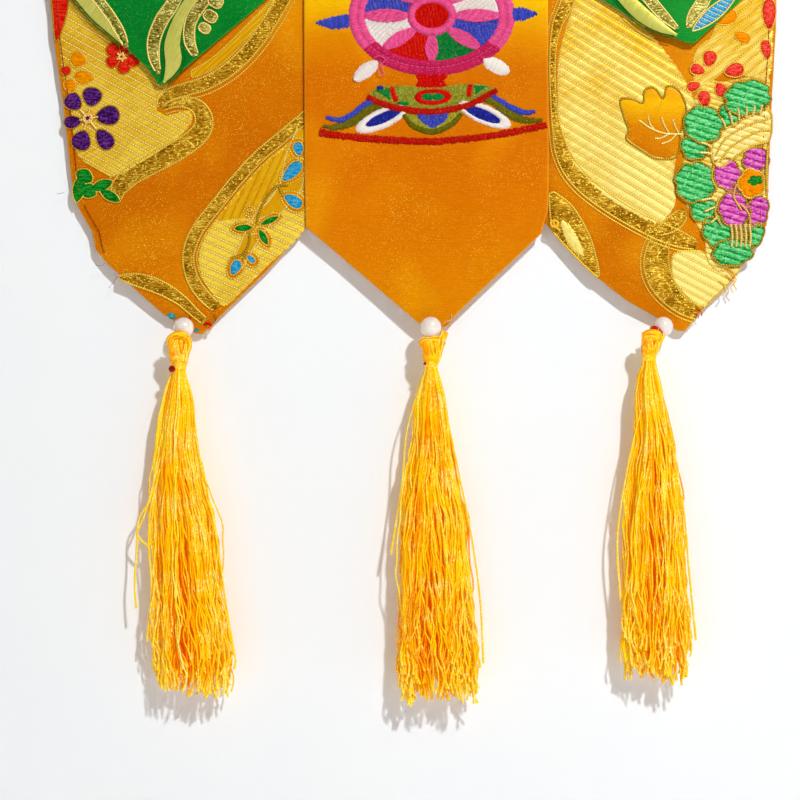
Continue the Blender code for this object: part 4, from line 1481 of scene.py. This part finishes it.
OLIVE_WINGS = (
    ((-36.4, -97, 0.7), (-31.3, -97.3, 2), (-25.4, -95, 3), (-20, -90.8, 2.9), (-15.6, -89.4, 2.2)),
    ((40, -94.8, 0.7), (34, -94.9, 2.2), (28.7, -92.8, 2.8), (23.4, -88.6, 2.7), (19.4, -87.4, 2)),
)
# Petals of the stand: the white ring's centre and half sizes, the blue heart's, and the tilt of both
STAND_PETALS = (
    ((-15.8, -94.3), (9.8, 3.3), (-15.2, -93.9), (6.6, 1.8), 24),
    ((19.9, -92.9), (10, 3.2), (19.2, -92.9), (6.7, 1.9), -23),
)
HALF_DISC = (
    (-8.4, -91.6), (-8.2, -93.6), (-5, -97), (-1, -98.8), (2, -99.2), (5.6, -98.4), (9.4, -96), (11.8, -93),
    (12, -91.4), (2, -92),
)
HALF_DISC_RIM = (
    (-8.2, -93, 1.2), (-5, -96.6, 1.8), (-1.2, -98.3, 2), (2, -98.8, 2), (5.6, -97.8, 1.9),
    (9.2, -95.6, 1.8), (11.8, -92.8, 1.2),
)
HEART = (
    (-2.9, -91.8), (-2.9, -94.4), (-0.6, -96.4), (1.9, -97.6), (4.6, -96.4), (6.7, -94.6), (6.8, -91.8),
    (2, -91.4),
)
BASE_ARC = (
    (-37.4, -99.1, 2.4), (-27.5, -100.6, 2.1), (-10, -101.9, 2.1), (1.9, -102.3, 2), (12, -101.6, 2),
    (23.4, -100.2, 2), (33, -98.4, 2), (41.6, -96.5, 2),
)
LOOSE_PINK = (
    (-18.6, -73, 0.4), (-16.4, -72.6, 1.2), (-14.6, -73.8, 1), (-16, -75.6, 0.9), (-17.2, -77.4, 1.4),
    (-16.4, -79.1, 1.2), (-15, -78.6, 0.9), (-15.8, -76, 1), (-16.6, -73.8, 0.3),
)


def add_stand(work):
    """The stem and the lotus stand under the wheel, and the handles round its rim."""
    for row, handle in enumerate(WHITE_HANDLES):
        add_filling(work, oval(*handle, 40), handle[-1] + 90, "thread_white", 60 + row, dome=0.6)
    for row, edges in enumerate(BLUE_HANDLES):
        upper, lower = (smooth(edge, 0.5) for edge in edges)
        add_satin_band(work, upper, lower, "thread_blue", 70 + row, dome=0.4, stray=0.25)
    add_filling(work, closed_line(STEM, 0.5), 0, "thread_red", 80, 1.6, dome=0.2)
    for row, rows in enumerate(OLIVE_WINGS):
        add_satin_stroke(work, rows, "thread_olive", 81 + row, dome=0.35, stray=0.2)
    for row, rows in enumerate(BLUE_WINGS):
        add_satin_stroke(work, rows, "thread_blue", 84 + row, dome=0.35, rise=0.2, stray=0.18)
    for row, (ring, ring_half, heart, heart_half, tilt) in enumerate(STAND_PETALS):
        outer = oval(*ring, *ring_half, tilt, 72, 0, 359.9)
        inner = oval(*heart, *heart_half, tilt, 72, 0, 359.9)
        add_satin_band(work, outer, inner, "thread_white", 86 + row, dome=0.4, rise=0.05)
        middle = oval(*heart, *heart_half, tilt, 40)
        add_filling(work, middle, tilt + 90, "thread_navy", 88 + row, dome=0.25, rise=0.1)
    add_filling(work, closed_line(HALF_DISC, 0.5), 25, "thread_lime", 90, 1.3, 0.46, dome=0.18)
    add_satin_stroke(work, HALF_DISC_RIM, "thread_olive", 91, dome=0.35, rise=0.15)
    add_filling(work, closed_line(HEART, 0.5), 80, "thread_blue", 92, 2.2, dome=0.25, rise=0.25)
    add_filling(work, closed_line(BOAT, 0.5), 68, "thread_moss", 93, 0.85, 0.42, dome=0.25, rise=0.1)
    for row, corners in enumerate(BOAT_TRIANGLES):
        outline = even(np.array(corners + corners[:1], float), 0.4)[:-1]
        add_filling(work, outline, 20, "thread_green", 95 + row, 1.4, dome=0.2, rise=0.35)
    for row, rows in enumerate(BOAT_BANDS):
        add_satin_stroke(work, rows, "thread_red", 97 + row, dome=0.2, rise=0.4, radius=0.2)
    ring = [oval(*BOAT_RING, *half, 2, 48, 0, 359.9) for half in ((6.6, 2.8), (3.8, 1.4))]
    add_satin_band(work, *ring, "thread_red", 99, dome=0.35, rise=0.4)
    for row, x in enumerate((0.1, 3.9)):
        bead = oval(x, BOAT_RING[1], 1.9, 1.3, count=24)
        add_filling(work, bead, 60, "thread_green", 100 + row, dome=0.25, rise=0.45)
    add_filling(work, oval(-8.4, -88.9, 2, 0.7, -6, 20), 80, "thread_green", 103, dome=0.2, rise=0.4)
    add_filling(work, oval(-16.4, -83.6, 1.1, 0.7, 0, 20), 80, "thread_navy", 104, dome=0.2, rise=0.4)
    add_satin_stroke(work, BOAT_RIM, "thread_brick", 105, dome=0.5, rise=0.5)
    add_satin_stroke(work, BASE_ARC, "thread_brick", 106, dome=0.5, rise=0.1, stray=0.2)
    work.add_tubes([loose_path(LOOSE_PINK)], 0.17, 5, "thread_pink", 0.7)


def loose_path(rows):
    """A loose thread's line from rows of (x, z, height above the cloth's face)."""
    line = smooth(rows, 0.35)
    return raised(line[:, :2], line[:, 2])


# ---- Pearls, loops and tassels

# Pearls: x, z, radius
PEARLS = {"left": (-84.8, -167.3, 3.6), "middle": (1.2, -167.3, 3.7), "right": (82.1, -167.0, 3.5)}
PEARL_BORE = 0.45
PEARL_SIDES = 40
PEARL_GAP = 0.3
PEARL_AXES = {"left": (-0.25, -0.5, -0.8), "middle": (0.1, -0.2, -1), "right": (-0.68, -0.48, -0.56)}
# Loops and ring: centre, facing, half width, half height, tilt, radius
OVAL_CORDS = {
    "loop_left": ((-86.3, -7.0, -171.7), (0.1, 0.78, 0.62), 3.2, 2.3, -24, 1.35),
    "loop_middle": ((1.7, -6.2, -172.7), (0, 0.56, 0.83), 3.6, 2.2, 0, 1.3),
    "loop_right": ((77.8, -6.6, -170), (0.3, 0.5, 0.8), 2.7, 1.7, -8, 1.1),
    "ring_right": ((79.4, -5.9, -169.2), (0.68, 0.48, 0.56), 2.2, 2.2, 0, 0.7),
}
# Tassels: rows of (z, centre x, half width, half depth)
NECK_ROWS = {
    "left": ((-176.35, -86.2, 3.1, 2.6), (-178.4, -86.1, 3.2, 2.6), (-182, -86.3, 2.6, 2.3)),
    "middle": ((-177.2, 1.6, 3.2, 2.4), (-178.6, 1.5, 3, 2.5), (-181, 1.3, 2.3, 2.1)),
    "right": ((-173.5, 77.3, 2.7, 2.3), (-175.6, 77.1, 2.8, 2.4), (-179.4, 77, 2.5, 2.2)),
}
TASSEL_PLANE = {"left": -5.0, "middle": -5.6, "right": -4.8}
SKIRT_ROWS = {
    "left": (
        (-182.3, -86.3, 2.7, 2.4), (-187.3, -86.4, 4.8, 3.4), (-194, -86.4, 6.6, 4),
        (-206.5, -86.8, 8, 4.6), (-220.5, -86.1, 9.6, 5), (-234.5, -84.4, 12.2, 5.4),
        (-262.5, -83, 13.4, 5.8), (-280, -81.8, 15, 6.2), (-296.5, -81.2, 13.6, 6.2),
    ),
    "middle": (
        (-181.3, 1.3, 2.6, 2.3), (-186, 1.1, 4.4, 3.4), (-192.5, 1, 6.3, 4), (-206.5, 1.4, 7.7, 4.6),
        (-220.5, 1, 10.4, 5), (-234.5, 2.2, 13.2, 5.4), (-262.5, 2.8, 14.6, 5.8), (-283, 3.6, 16.2, 6.2),
        (-299, 4, 15.4, 6.2),
    ),
    "right": (
        (-179.7, 77, 2.8, 2.4), (-184, 76.7, 4.4, 3.4), (-190, 77, 5.6, 3.8), (-206.5, 78.7, 7.6, 4.4),
        (-227.5, 78.4, 11.3, 5), (-248.5, 78.8, 12, 5.4), (-276.5, 79.4, 12.8, 5.8), (-292, 79.5, 12, 5.8),
    ),
}
SIDES = ("left", "middle", "right")
SKIRT_STRANDS = 300
SKIRT_LOCKS = 30
SKIRT_SPANS = 42
SKIRT_SEEDS = {"left": 5, "middle": 6, "right": 8}
STRAND_RADIUS = 0.34
GOLDEN_ANGLE = 2.39996
YARN_SIDES = 5


def pearl_place(side):
    """Centre of a pearl, just in front of its tongue."""
    x, z, radius = PEARLS[side]
    cloth = Cloth(side)
    face_y = cloth.middle(np.array([x]), np.array([z]))[0] - cloth.thick / 2 - cloth.pucker(x, z)
    return np.array([x, face_y - PEARL_GAP - radius, z])


def revolve(profile, axis, centre):
    """A turned shape from rows of (radius, height) about an axis through its centre."""
    axis = np.asarray(axis, float) / np.linalg.norm(axis)
    wide = np.cross(axis, (0.31, -0.2, 0.93))
    wide /= np.linalg.norm(wide)
    deep = np.cross(axis, wide)
    turn = np.linspace(0, math.tau, PEARL_SIDES, endpoint=False)[:, None]
    profile = np.asarray(profile, float)
    ring = profile[:, :1, None] * (np.cos(turn) * wide + np.sin(turn) * deep)
    points = np.asarray(centre) + ring + profile[:, 1, None, None] * axis
    return points.reshape(-1, 3), grid_faces(len(profile), PEARL_SIDES, closed=True)


def pearl(side):
    """A drilled pearl, very slightly out of round, with softened lips at its bore."""
    radius = PEARLS[side][2]
    start = math.asin((PEARL_BORE + 0.25) / radius)
    turn = np.linspace(start, math.pi - start, 26)
    rows = [(radius * (1 + 0.006 * math.sin(3 * a)) * math.sin(a), -radius * math.cos(a)) for a in turn]
    lip = radius * math.cos(start)
    bore = [(PEARL_BORE, -lip + 0.5), (PEARL_BORE, -lip + 0.15), (PEARL_BORE + 0.1, -lip + 0.02)]
    profile = bore + rows + [(r, -h) for r, h in reversed(bore)] + bore[:1]
    work = Work()
    points, faces = revolve(profile, PEARL_AXES[side], pearl_place(side))
    work.add(points, faces, "pearl_lustre")
    work.piece(f"bead_pearl_{side}", "pearl", [f"pearl_{side}"])


def oval_path(name, count=64):
    """The closed line of a loop or ring, the way it faces and its radius."""
    centre, facing, half_width, half_height, tilt, radius = OVAL_CORDS[name]
    axis = np.array(facing, float) / np.linalg.norm(facing)
    wide = np.cross(axis, (0, 0, 1))
    wide /= np.linalg.norm(wide)
    high = np.cross(wide, axis)
    lean = math.radians(tilt)
    leant = wide * math.cos(lean) - high * math.sin(lean)
    high = wide * math.sin(lean) + high * math.cos(lean)
    turn = np.linspace(0, math.tau, count)[:, None]
    path = np.array(centre) + half_width * np.cos(turn) * leant + half_height * np.sin(turn) * high
    return path, axis, radius


def add_yarn(work, path, facing, bundle, strands, strand, twist, seed, tones=(0.1, 1.0)):
    """A hank of floss along a line: strands packed round it, turning slowly as they go."""
    path = np.asarray(path, float)
    along = np.gradient(path, axis=0)
    along /= np.linalg.norm(along, axis=1, keepdims=True)
    side = np.cross(along, facing)
    side /= np.linalg.norm(side, axis=1, keepdims=True)
    top = np.cross(side, along)
    draw = np.random.default_rng(seed)
    order = np.arange(strands)
    run = runs(path)[:, None]
    out = (bundle - strand) * np.sqrt((order + 0.5) / strands)
    sway = 0.3 * np.sin(run * 0.8 + draw.uniform(0, math.tau, strands))
    angle = order * GOLDEN_ANGLE + run * twist + sway
    offset = side[:, None] * (out * np.cos(angle))[..., None]
    offset = offset + top[:, None] * (out * np.sin(angle))[..., None]
    tone = draw.uniform(*tones, strands).repeat(len(path) * YARN_SIDES)
    paths = (path[:, None] + offset).transpose(1, 0, 2)
    work.add_tubes(paths, strand, YARN_SIDES, "tassel_floss", tone, facing)


def rows_at(rows, z):
    """Centre x, half width and half depth of a tassel at heights z."""
    table = np.array(rows, float)
    return [np.interp(-z, -table[:, 0], table[:, column]) for column in (1, 2, 3)]


NECK_PITCH = 0.5
NECK_THREAD = 0.3
NECK_TOPS = {"left": -176.4, "middle": -175.9, "right": -173.1}
# Fingers of floss from a neck up behind the front of its loop: rows of (x, y, z)
NECK_FINGERS = {
    "left": (
        ((-88, -5, -179), (-88.3, -6.6, -176.2), (-88.3, -7.8, -174), (-87.8, -7, -171.6),
         (-87.4, -5.6, -170.2)),
        ((-86.2, -5, -179), (-86.2, -6.9, -176.2), (-86, -8.2, -174), (-85.6, -7.4, -171.8),
         (-85.4, -6, -170.4)),
        ((-84.4, -5, -179), (-83.8, -6.6, -176.2), (-83, -7.2, -174.4), (-82.8, -6.6, -172.4),
         (-83.4, -5.6, -171)),
    ),
    "middle": (
        ((0, -5.4, -178.6), (-0.4, -7.2, -175.8), (-0.6, -8, -173.8), (-0.4, -7, -171.8), (0, -5.8, -171)),
        ((1.6, -5.6, -178.6), (1.6, -7.6, -175.8), (1.7, -8.6, -173.8), (1.8, -7.4, -172), (1.8, -6, -171)),
        ((3.4, -5.4, -178.6), (3.8, -7.2, -175.8), (4.4, -8, -173.8), (4.9, -8.2, -172),
         (5.6, -7.4, -170.4), (6, -6.6, -169.2)),
    ),
    "right": (
        ((75.6, -4.8, -176), (75.6, -6.4, -172.8), (75.4, -7, -171), (75.6, -6, -169.6)),
        ((77.4, -5, -176), (77.4, -6.8, -172.8), (77.6, -7.4, -171), (77.8, -6.2, -169.8)),
        ((79, -4.8, -176), (79.6, -6.4, -173), (80.6, -7, -171), (81, -6.4, -169.6)),
    ),
}
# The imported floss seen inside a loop: rows of (x, y, z)
LOOP_FILLING = {
    "left": ((-86, -4.6, -179), (-86.2, -5.2, -174.4), (-86.4, -5.6, -171)),
    "middle": ((1.6, -5, -178.6), (2, -5.4, -174.4), (2.4, -5.8, -171.8)),
    "right": ((77.2, -4.4, -176), (77.6, -5.4, -172), (77.8, -6, -170)),
}
# Coils of a loop: shift in x, y, z and share of its size
LOOP_COILS = {
    "left": ((0, 0, 0, 1),),
    "middle": ((0, 0, 0, 1),),
    "right": ((0, 0, 0, 1), (-0.4, 0.1, -1.7, 0.9)),
}


def neck(side):
    """The tassel's bound neck: a close winding of floss over the gathered strands, the fingers that rise
    from it behind the loop's front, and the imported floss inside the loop."""
    rows = NECK_ROWS[side]
    work = Work()
    top, bottom = NECK_TOPS[side], rows[-1][0]
    turns = (top - bottom) / NECK_PITCH
    turn = np.linspace(0, turns * math.tau, int(turns * 22))
    z = top - turn / math.tau * NECK_PITCH
    x, half_width, half_depth = rows_at(rows, z)
    x = x + (half_width - NECK_THREAD) * np.cos(turn)
    y = TASSEL_PLANE[side] + (half_depth - NECK_THREAD) * np.sin(turn)
    tone = 0.55 + 0.2 * np.sin(np.repeat(turn, 6) * 0.13)
    work.add_tubes(np.stack([x, y, z], axis=1)[None], NECK_THREAD, 6, "tassel_floss", tone, (0, 0, 1))
    for row, finger in enumerate(NECK_FINGERS[side]):
        add_yarn(work, smooth_path(finger, 0.5), FRONT, 1.5, 20, 0.32, 0.2, 30 + row)
    # The floss inside the loop keeps to low tones: painted shade in the loop's hollow.
    add_yarn(work, smooth_path(LOOP_FILLING[side], 0.5), FRONT, 2.3, 24, 0.48, 0.1, 40, (0.1, 0.5))
    work.piece(f"bound_neck_{side}", "silk", [f"neck_{side}"])


def loop(side):
    """The hanging loop: a hank of floss closed on itself."""
    path, axis, radius = oval_path(f"loop_{side}")
    middle = path.mean(axis=0)
    work = Work()
    for coil, (*shift, share) in enumerate(LOOP_COILS[side]):
        add_yarn(work, middle + (path - middle) * share + shift, axis, radius, 24, 0.3, 0.12, 7 + coil)
    work.piece(f"floss_loop_{side}", "silk", [f"loop_{side}"])


# Single strands that stand away from a skirt: rows of (x, y, z)
STRAY_STRANDS = {
    "left": (
        ((-92, -6, -204), (-94.6, -6.4, -219), (-96, -6, -227), (-100.2, -5.4, -234.4), (-100.9, -5, -246),
         (-101.6, -5, -256), (-101, -5, -265)),
        ((-92.4, -6.6, -212), (-97.6, -6, -231), (-100.6, -5.4, -238.4), (-98.8, -5.6, -241.6),
         (-96.8, -6, -242.8), (-94.8, -6.6, -241.4)),
        ((-90.6, -7, -210), (-95, -7, -226), (-96.6, -6.4, -240), (-95.6, -6, -258), (-97.2, -5.6, -276)),
        ((-78, -7, -214), (-72.4, -7, -244), (-70, -6, -262), (-66.8, -6, -281)),
    ),
    "middle": (
        ((6.4, -6.6, -196), (10.6, -6.6, -216), (15.4, -6, -240), (18.4, -6, -262), (19.6, -5, -284)),
        ((-4, -7, -192), (-7.2, -7.2, -204), (-8.8, -6.4, -222), (-12.6, -6, -246)),
    ),
    "right": (
        ((83, -6, -204), (88.6, -6, -228), (91, -5, -252), (93.4, -5, -276)),
        ((74, -6.6, -196), (69.4, -6.6, -216), (66, -6, -240), (67.2, -5, -262)),
    ),
}


def skirt(side):
    """The hanging strands: gathered in locks, waved, uneven at the ends, with a few strays."""
    rows = SKIRT_ROWS[side]
    draw = np.random.default_rng(SKIRT_SEEDS[side])
    top, bottom = rows[0][0] + 0.8, rows[-1][0]
    lock = draw.integers(0, SKIRT_LOCKS, SKIRT_STRANDS)
    lock_turn = (np.arange(SKIRT_LOCKS) + draw.uniform(-0.3, 0.3, SKIRT_LOCKS)) * math.tau / SKIRT_LOCKS
    lock_out = draw.uniform(0.72, 0.97, SKIRT_LOCKS)
    lock_end = draw.uniform(0, 8, SKIRT_LOCKS)
    turn = lock_turn[lock] + draw.normal(0, 0.17, SKIRT_STRANDS)
    outer = draw.uniform(size=SKIRT_STRANDS) < 0.68
    outer_out = lock_out[lock] + draw.normal(0, 0.05, SKIRT_STRANDS)
    out = np.clip(np.where(outer, outer_out, draw.uniform(0.15, 0.7, SKIRT_STRANDS)), 0, 1)
    end = bottom + np.clip(lock_end[lock] + np.abs(draw.normal(0, 6, SKIRT_STRANDS)), 0, 24)
    share = np.linspace(0, 1, SKIRT_SPANS)
    z = top + share * (end - top)[:, None]
    x, half_width, half_depth = rows_at(rows, z)
    gather = 0.45 * smooth_step(share, 0.55, 1.0)
    turned = turn[:, None] * (1 - gather) + lock_turn[lock][:, None] * gather
    turned = turned + 0.22 * np.sin(share * 4 + lock[:, None])
    wander = smooth_step(share, 0.02, 0.3) * 0.45 + smooth_step(share, 0.6, 1.0) * 0.75
    phase = draw.uniform(0, math.tau, (5, SKIRT_STRANDS, 1))
    pitch = draw.uniform(0.1, 0.3, (SKIRT_STRANDS, 1))
    kink = smooth_step(share, 0.05, 0.2) * draw.uniform(0.02, 0.18, (SKIRT_STRANDS, 1))
    sway_x = wander * (np.sin(z * pitch + phase[0]) + 0.4 * np.sin(z * 0.5 + phase[1]))
    sway_x = sway_x + kink * np.sin(z * (0.7 + pitch) + phase[4])
    sway_y = wander * np.sin(z * pitch * 0.8 + phase[2]) + kink * np.sin(z * (0.9 + pitch) + phase[3])
    stray = (draw.uniform(size=(SKIRT_STRANDS, 1)) < 0.1) * smooth_step(share, 0.12, 0.5)
    stray = stray * np.sin(share * 5 + phase[3]) * 2.6
    reach_x = half_width - STRAND_RADIUS - 0.4
    reach_y = half_depth - STRAND_RADIUS - 0.3
    x = x + reach_x * out[:, None] * np.cos(turned) + sway_x + stray
    y = TASSEL_PLANE[side] + reach_y * out[:, None] * np.sin(turned) + sway_y
    frayed = smooth_step(share, 0.965, 1.0)
    radii = STRAND_RADIUS * (1 + 0.5 * frayed) * draw.uniform(0.75, 1.15, (SKIRT_STRANDS, 1))
    lock_tone = draw.uniform(0.1, 0.9, SKIRT_LOCKS)
    tone = np.clip(0.55 * lock_tone[lock] + 0.55 * draw.uniform(size=SKIRT_STRANDS) + 0.1, 0, 1)
    # Inner strands get lower tones: painted shade where the floss is packed.
    tone = tone * np.clip((out - 0.3) / 0.5, 0.1, 1.0)
    tones = np.clip(tone[:, None] + 0.5 * frayed, 0, 1).repeat(4, axis=1).ravel()
    work = Work()
    work.add_tubes(np.stack([x, y, z], axis=2), radii, 4, "tassel_floss", tones)
    for strand in STRAY_STRANDS[side]:
        line = smooth_path(strand, 1.5)
        radii = STRAND_RADIUS * np.linspace(0.8, 1.3, len(line))
        work.add_tubes(line[None], radii[None], YARN_SIDES, "tassel_floss", 0.8)
    work.piece(f"floss_skirt_{side}", "silk", [f"skirt_{side}"])


# Knots in the floss: x, y, z, radius
KNOTS = ((-88.4, -7.4, -181.7, 1.15), (-0.9, -7.2, -179.9, 0.5))


def add_knot(work, place, radius):
    """A small hard knot: crossed turns of dark thread."""
    turn = np.linspace(0, math.tau, 25)[:, None]
    deep = np.array([0, 1, 0])
    for lean in (0.2, 0.8, 1.4, 2.1, 2.7):
        wide = np.array([math.cos(lean), 0, math.sin(lean)])
        path = place + radius * 0.6 * (np.cos(turn) * wide + np.sin(turn) * deep)
        work.add_tubes(path[None], radius * 0.45, 9, "thread_dark", 0.5, np.cross(wide, deep))


def red_ring():
    """The small glazed ring between the right pearl and its loop."""
    path, axis, radius = oval_path("ring_right", 49)
    work = Work()
    work.add_tubes(path[None], radius, 14, "ring_glaze", 0.5, axis)
    work.piece("glazed_ring_right", "red_bead", ["ring_right"])


# Thread left hanging on a tongue: side, finish, radius, rows of (x, z, height)
LOOSE_THREADS = (
    ("left", "thread_dark", 0.07, ((-126.8, -119.6, 0.2), (-128, -120.2, 0.6), (-129.6, -120.4, 0.2))),
    ("left", "thread_dark", 0.07, ((-112.6, -144.6, 0.2), (-114, -145.6, 0.6), (-116, -145.2, 0.2))),
    ("left", "thread_dark", 0.07, ((-108, -149.2, 0.2), (-109.4, -151.4, 0.6), (-111.2, -153.4, 0.2))),
    ("left", "thread_red", 0.2, ((-83.4, -164.6, 0.3), (-82.6, -164, 0.9), (-83, -163.2, 0.3))),
    ("left", "thread_red", 0.42,
     ((-78, -166, 0.3), (-76.6, -165.6, 0.7), (-75.4, -166.4, 0.8), (-76.4, -167.2, 0.6))),
    ("left", "thread_orange", 0.4, ((-76.8, -166.6, 0.4), (-75.4, -167.2, 0.9), (-76.2, -167.6, 0.6))),
    ("left", "thread_olive", 0.16,
     ((-76.2, -166.6, 0.5), (-74.4, -165.4, 1.2), (-73.6, -163.6, 1), (-74.8, -162.8, 0.4))),
    ("middle", "clear_thread", 0.12,
     ((4.8, -166.8, 0.3), (6.6, -165.2, 1.4), (8.2, -164.6, 1), (8.6, -162.6, 0.4))),
    ("right", "thread_yellow", 0.42, (
        (43.4, -129.6, 1.2), (43.2, -131.4, 2.2), (44.8, -132.2, 2.4), (45.6, -130.6, 2.3),
        (44, -129.8, 2.0), (44.6, -131.8, 1.8), (46.4, -133.2, 1.0),
    )),
    ("right", "thread_yellow", 0.2, (
        (104.4, -147.2, 0.3), (106.8, -148.2, 0.9), (108, -150.4, 1.1), (107.2, -152.2, 1.2),
        (108.2, -154, 1),
    )),
    ("right", "thread_yellow", 0.2, (
        (103.2, -149, 0.3), (105.6, -149.6, 0.8), (107.4, -151.2, 1.1), (106.2, -153.2, 1),
        (107, -155, 0.9),
    )),
    ("right", "thread_yellow", 0.2,
     ((102, -150.8, 0.3), (104, -152.2, 0.8), (104.4, -154.4, 1), (103.2, -156.4, 1))),
    ("right", "thread_red", 0.16, ((94.2, -160.2, 0.2), (95.8, -161.6, 0.7), (96.2, -163.2, 0.4))),
    ("right", "thread_red", 0.16, ((93.6, -162.2, 0.2), (94.8, -162.8, 0.7), (95, -163.8, 0.3))),
    ("right", "thread_orange", 0.22, (
        (104.6, -146.4, 0.2), (106.6, -147.8, 1.1), (107.4, -149.6, 1.2), (106, -150.2, 0.8),
        (104.8, -148.8, 0.3),
    )),
)
SEAM_RISE = 0.5
# Hem seams: side of the banner (the seam follows the tongue's edge on that side), inset, from z, to z
SEAMS = (("left", 2.3, -4, -121), ("left", 2.7, -124, -141), ("right", 2.6, -46, -134))


def sewing():
    """The machine stitching of the heading and hems, and the odd thread left hanging."""
    work = Work()
    heading_stitches(work)
    for side, inset, start, end in SEAMS:
        cloth = Cloth(side)
        z = np.arange(start, end, -0.8)
        x = edge_at(cloth.left, z) + inset if side == "left" else edge_at(cloth.right, z) - inset
        face_y = cloth.middle(x, z) - cloth.thick / 2 - SEAM_RISE
        stitch_row(work, np.stack([x, z, face_y], axis=1), "thread_seam", 0.14, 1.5, 0.35)
    for side, finish, radius, rows in LOOSE_THREADS:
        work.add_tubes(Cloth(side).lay(loose_path(rows))[None], radius, 6, finish, 0.6)
    for *place, radius in KNOTS:
        add_knot(work, np.array(place), radius)
    work.piece("sewing_threads", "silk")


# ---- Studio

CAMERA_CENTRE = (-9.45, -192.5)
FRAME_WIDTH = 280.0
LENS = 85.0
SENSOR = 36.0
WALL_Y = 3.8
FLOOR_Z = -372.0
REACH = 6000.0
FLOOR_HALF = 1000.0
AIR_LIGHT = 0.19
AIR_TINT = (1.0, 0.7, 0.42, 1.0)
BACKDROP = (0.78, 0.78, 0.78, 1.0)
LAMP_TARGET = (0, 0, -190)
LAMP_TINT = (0.94, 0.975, 1.0)
# Lamps: name, place, width, power
LAMPS = (
    ("main_lamp", (520, -1120, 720), 90, 17.2), ("fill_lamp", (-900, -1500, 300), 900, 1.0),
    ("rear_lamp", (500, 1600, 300), 800, 7.0),
)


def board(name, corners, finish):
    mesh = bpy.data.meshes.new(name)
    mesh.from_pydata([tuple(value * MM for value in corner) for corner in corners], [], [(0, 1, 2, 3)])
    mesh.materials.append(FINISHES[finish])
    made = put(name, mesh)
    return made


def open_backed(name, one, other):
    """Slightly clouded paint that is not there from behind, so that the banner's back can be seen."""
    finish = Finish(name, {"Roughness": 0.95, "Specular IOR Level": 0.1})
    finish.colour(finish.noise(40, detail=2), one, other)
    facing = finish.node("NewGeometry", output="Backfacing")
    clear = finish.node("BsdfTransparent")
    output = finish.tree.nodes["Material Output"]
    surface = Wire(finish, finish.shader.outputs[0])
    blend = finish.node("MixShader", inputs={0: facing, 1: surface, 2: clear})
    finish.tree.links.new(blend.socket, output.inputs["Surface"])


def lamp(name, place, size, power):
    """A round lamp aimed at the middle of the banner."""
    light = bpy.data.lights.new(name, "AREA")
    light.shape = "DISK"
    light.size = size * MM
    light.energy = power
    light.color = LAMP_TINT
    made = put(name, light)
    made.location = np.array(place) * MM
    direction = Vector((np.array(LAMP_TARGET) - place) * MM)
    made.rotation_euler = direction.to_track_quat("-Z", "Y").to_euler()


def studio_air():
    """The air lights softly and warmly, and looks pale where nothing stands in front of it."""
    world = bpy.data.worlds.new("studio_air")
    world.use_nodes = True
    nodes, links = world.node_tree.nodes, world.node_tree.links
    glow = nodes["Background"]
    glow.inputs["Color"].default_value = AIR_TINT
    glow.inputs["Strength"].default_value = AIR_LIGHT
    backdrop = nodes.new("ShaderNodeBackground")
    backdrop.inputs["Color"].default_value = BACKDROP
    blend = nodes.new("ShaderNodeMixShader")
    links.new(nodes.new("ShaderNodeLightPath").outputs["Is Camera Ray"], blend.inputs["Fac"])
    links.new(glow.outputs["Background"], blend.inputs[1])
    links.new(backdrop.outputs["Background"], blend.inputs[2])
    links.new(blend.outputs["Shader"], nodes["World Output"].inputs["Surface"])
    bpy.context.scene.world = world


def studio():
    """A white wall close behind the banner, a pale floor, one main lamp at the upper right and fill."""
    open_backed("wall_paint", rgb(244, 249, 255), rgb(248, 252, 255))
    Finish("floor_paint", {"Roughness": 0.9, "Specular IOR Level": 0.1, "Base Color": rgb(250, 250, 250)})
    ends = ((-REACH, FLOOR_Z), (REACH, FLOOR_Z), (REACH, REACH), (-REACH, REACH))
    wall = board("wall", [(x, WALL_Y, z) for x, z in ends], "wall_paint")
    wall.visible_shadow = False
    corners = ((-1, -1), (1, -1), (1, 1), (-1, 1))
    board("floor", [(x * FLOOR_HALF, y * FLOOR_HALF, FLOOR_Z) for x, y in corners], "floor_paint")
    studio_air()
    for row in LAMPS:
        lamp(*row)


def camera():
    """Straight on, far enough for the frame to hold the banner's lower end and its tassels."""
    lens = bpy.data.cameras.new("camera")
    lens.lens = LENS
    lens.sensor_width = SENSOR
    made = put("camera", lens)
    distance = FRAME_WIDTH * LENS / SENSOR
    made.location = (CAMERA_CENTRE[0] * MM, -distance * MM, CAMERA_CENTRE[1] * MM)
    made.rotation_euler = (math.pi / 2, 0, 0)
    bpy.context.scene.camera = made
    bpy.context.scene.view_settings.view_transform = "Standard"


# Panels: finish in front, finish behind, slot
BROCADE = ("brocade_ground", "brocade_reverse", "brocade")
PANEL_CLOTH = {"left": BROCADE, "middle": ("middle_satin", "satin_reverse", "satin"), "right": BROCADE}


def main():
    make_finishes()
    heading = heading_strip()
    work = {"left": left_brocade, "right": right_brocade}
    for side in SIDES:
        panel = cloth_sheet(Cloth(side), f"panel_{side}", *PANEL_CLOTH[side], f"tongue_{side}")
        if side == "middle":
            embroidery = add_wheel()
            add_stand(embroidery)
            worked = [embroidery.piece("embroidered_wheel", "silk")]
        else:
            worked = work[side](Cloth(side))
            over = Cloth(side, overlay=True)
            cloths = ("point_green", "green_reverse", "green_brocade")
            point = cloth_sheet(over, f"point_{side}", *cloths, f"overlay_{side}")
            point_work = point_brocade(over, side)
        pearl(side)
        loop(side)
        neck(side)
        skirt(side)
    red_ring()
    sewing()
    studio()
    camera()


main()
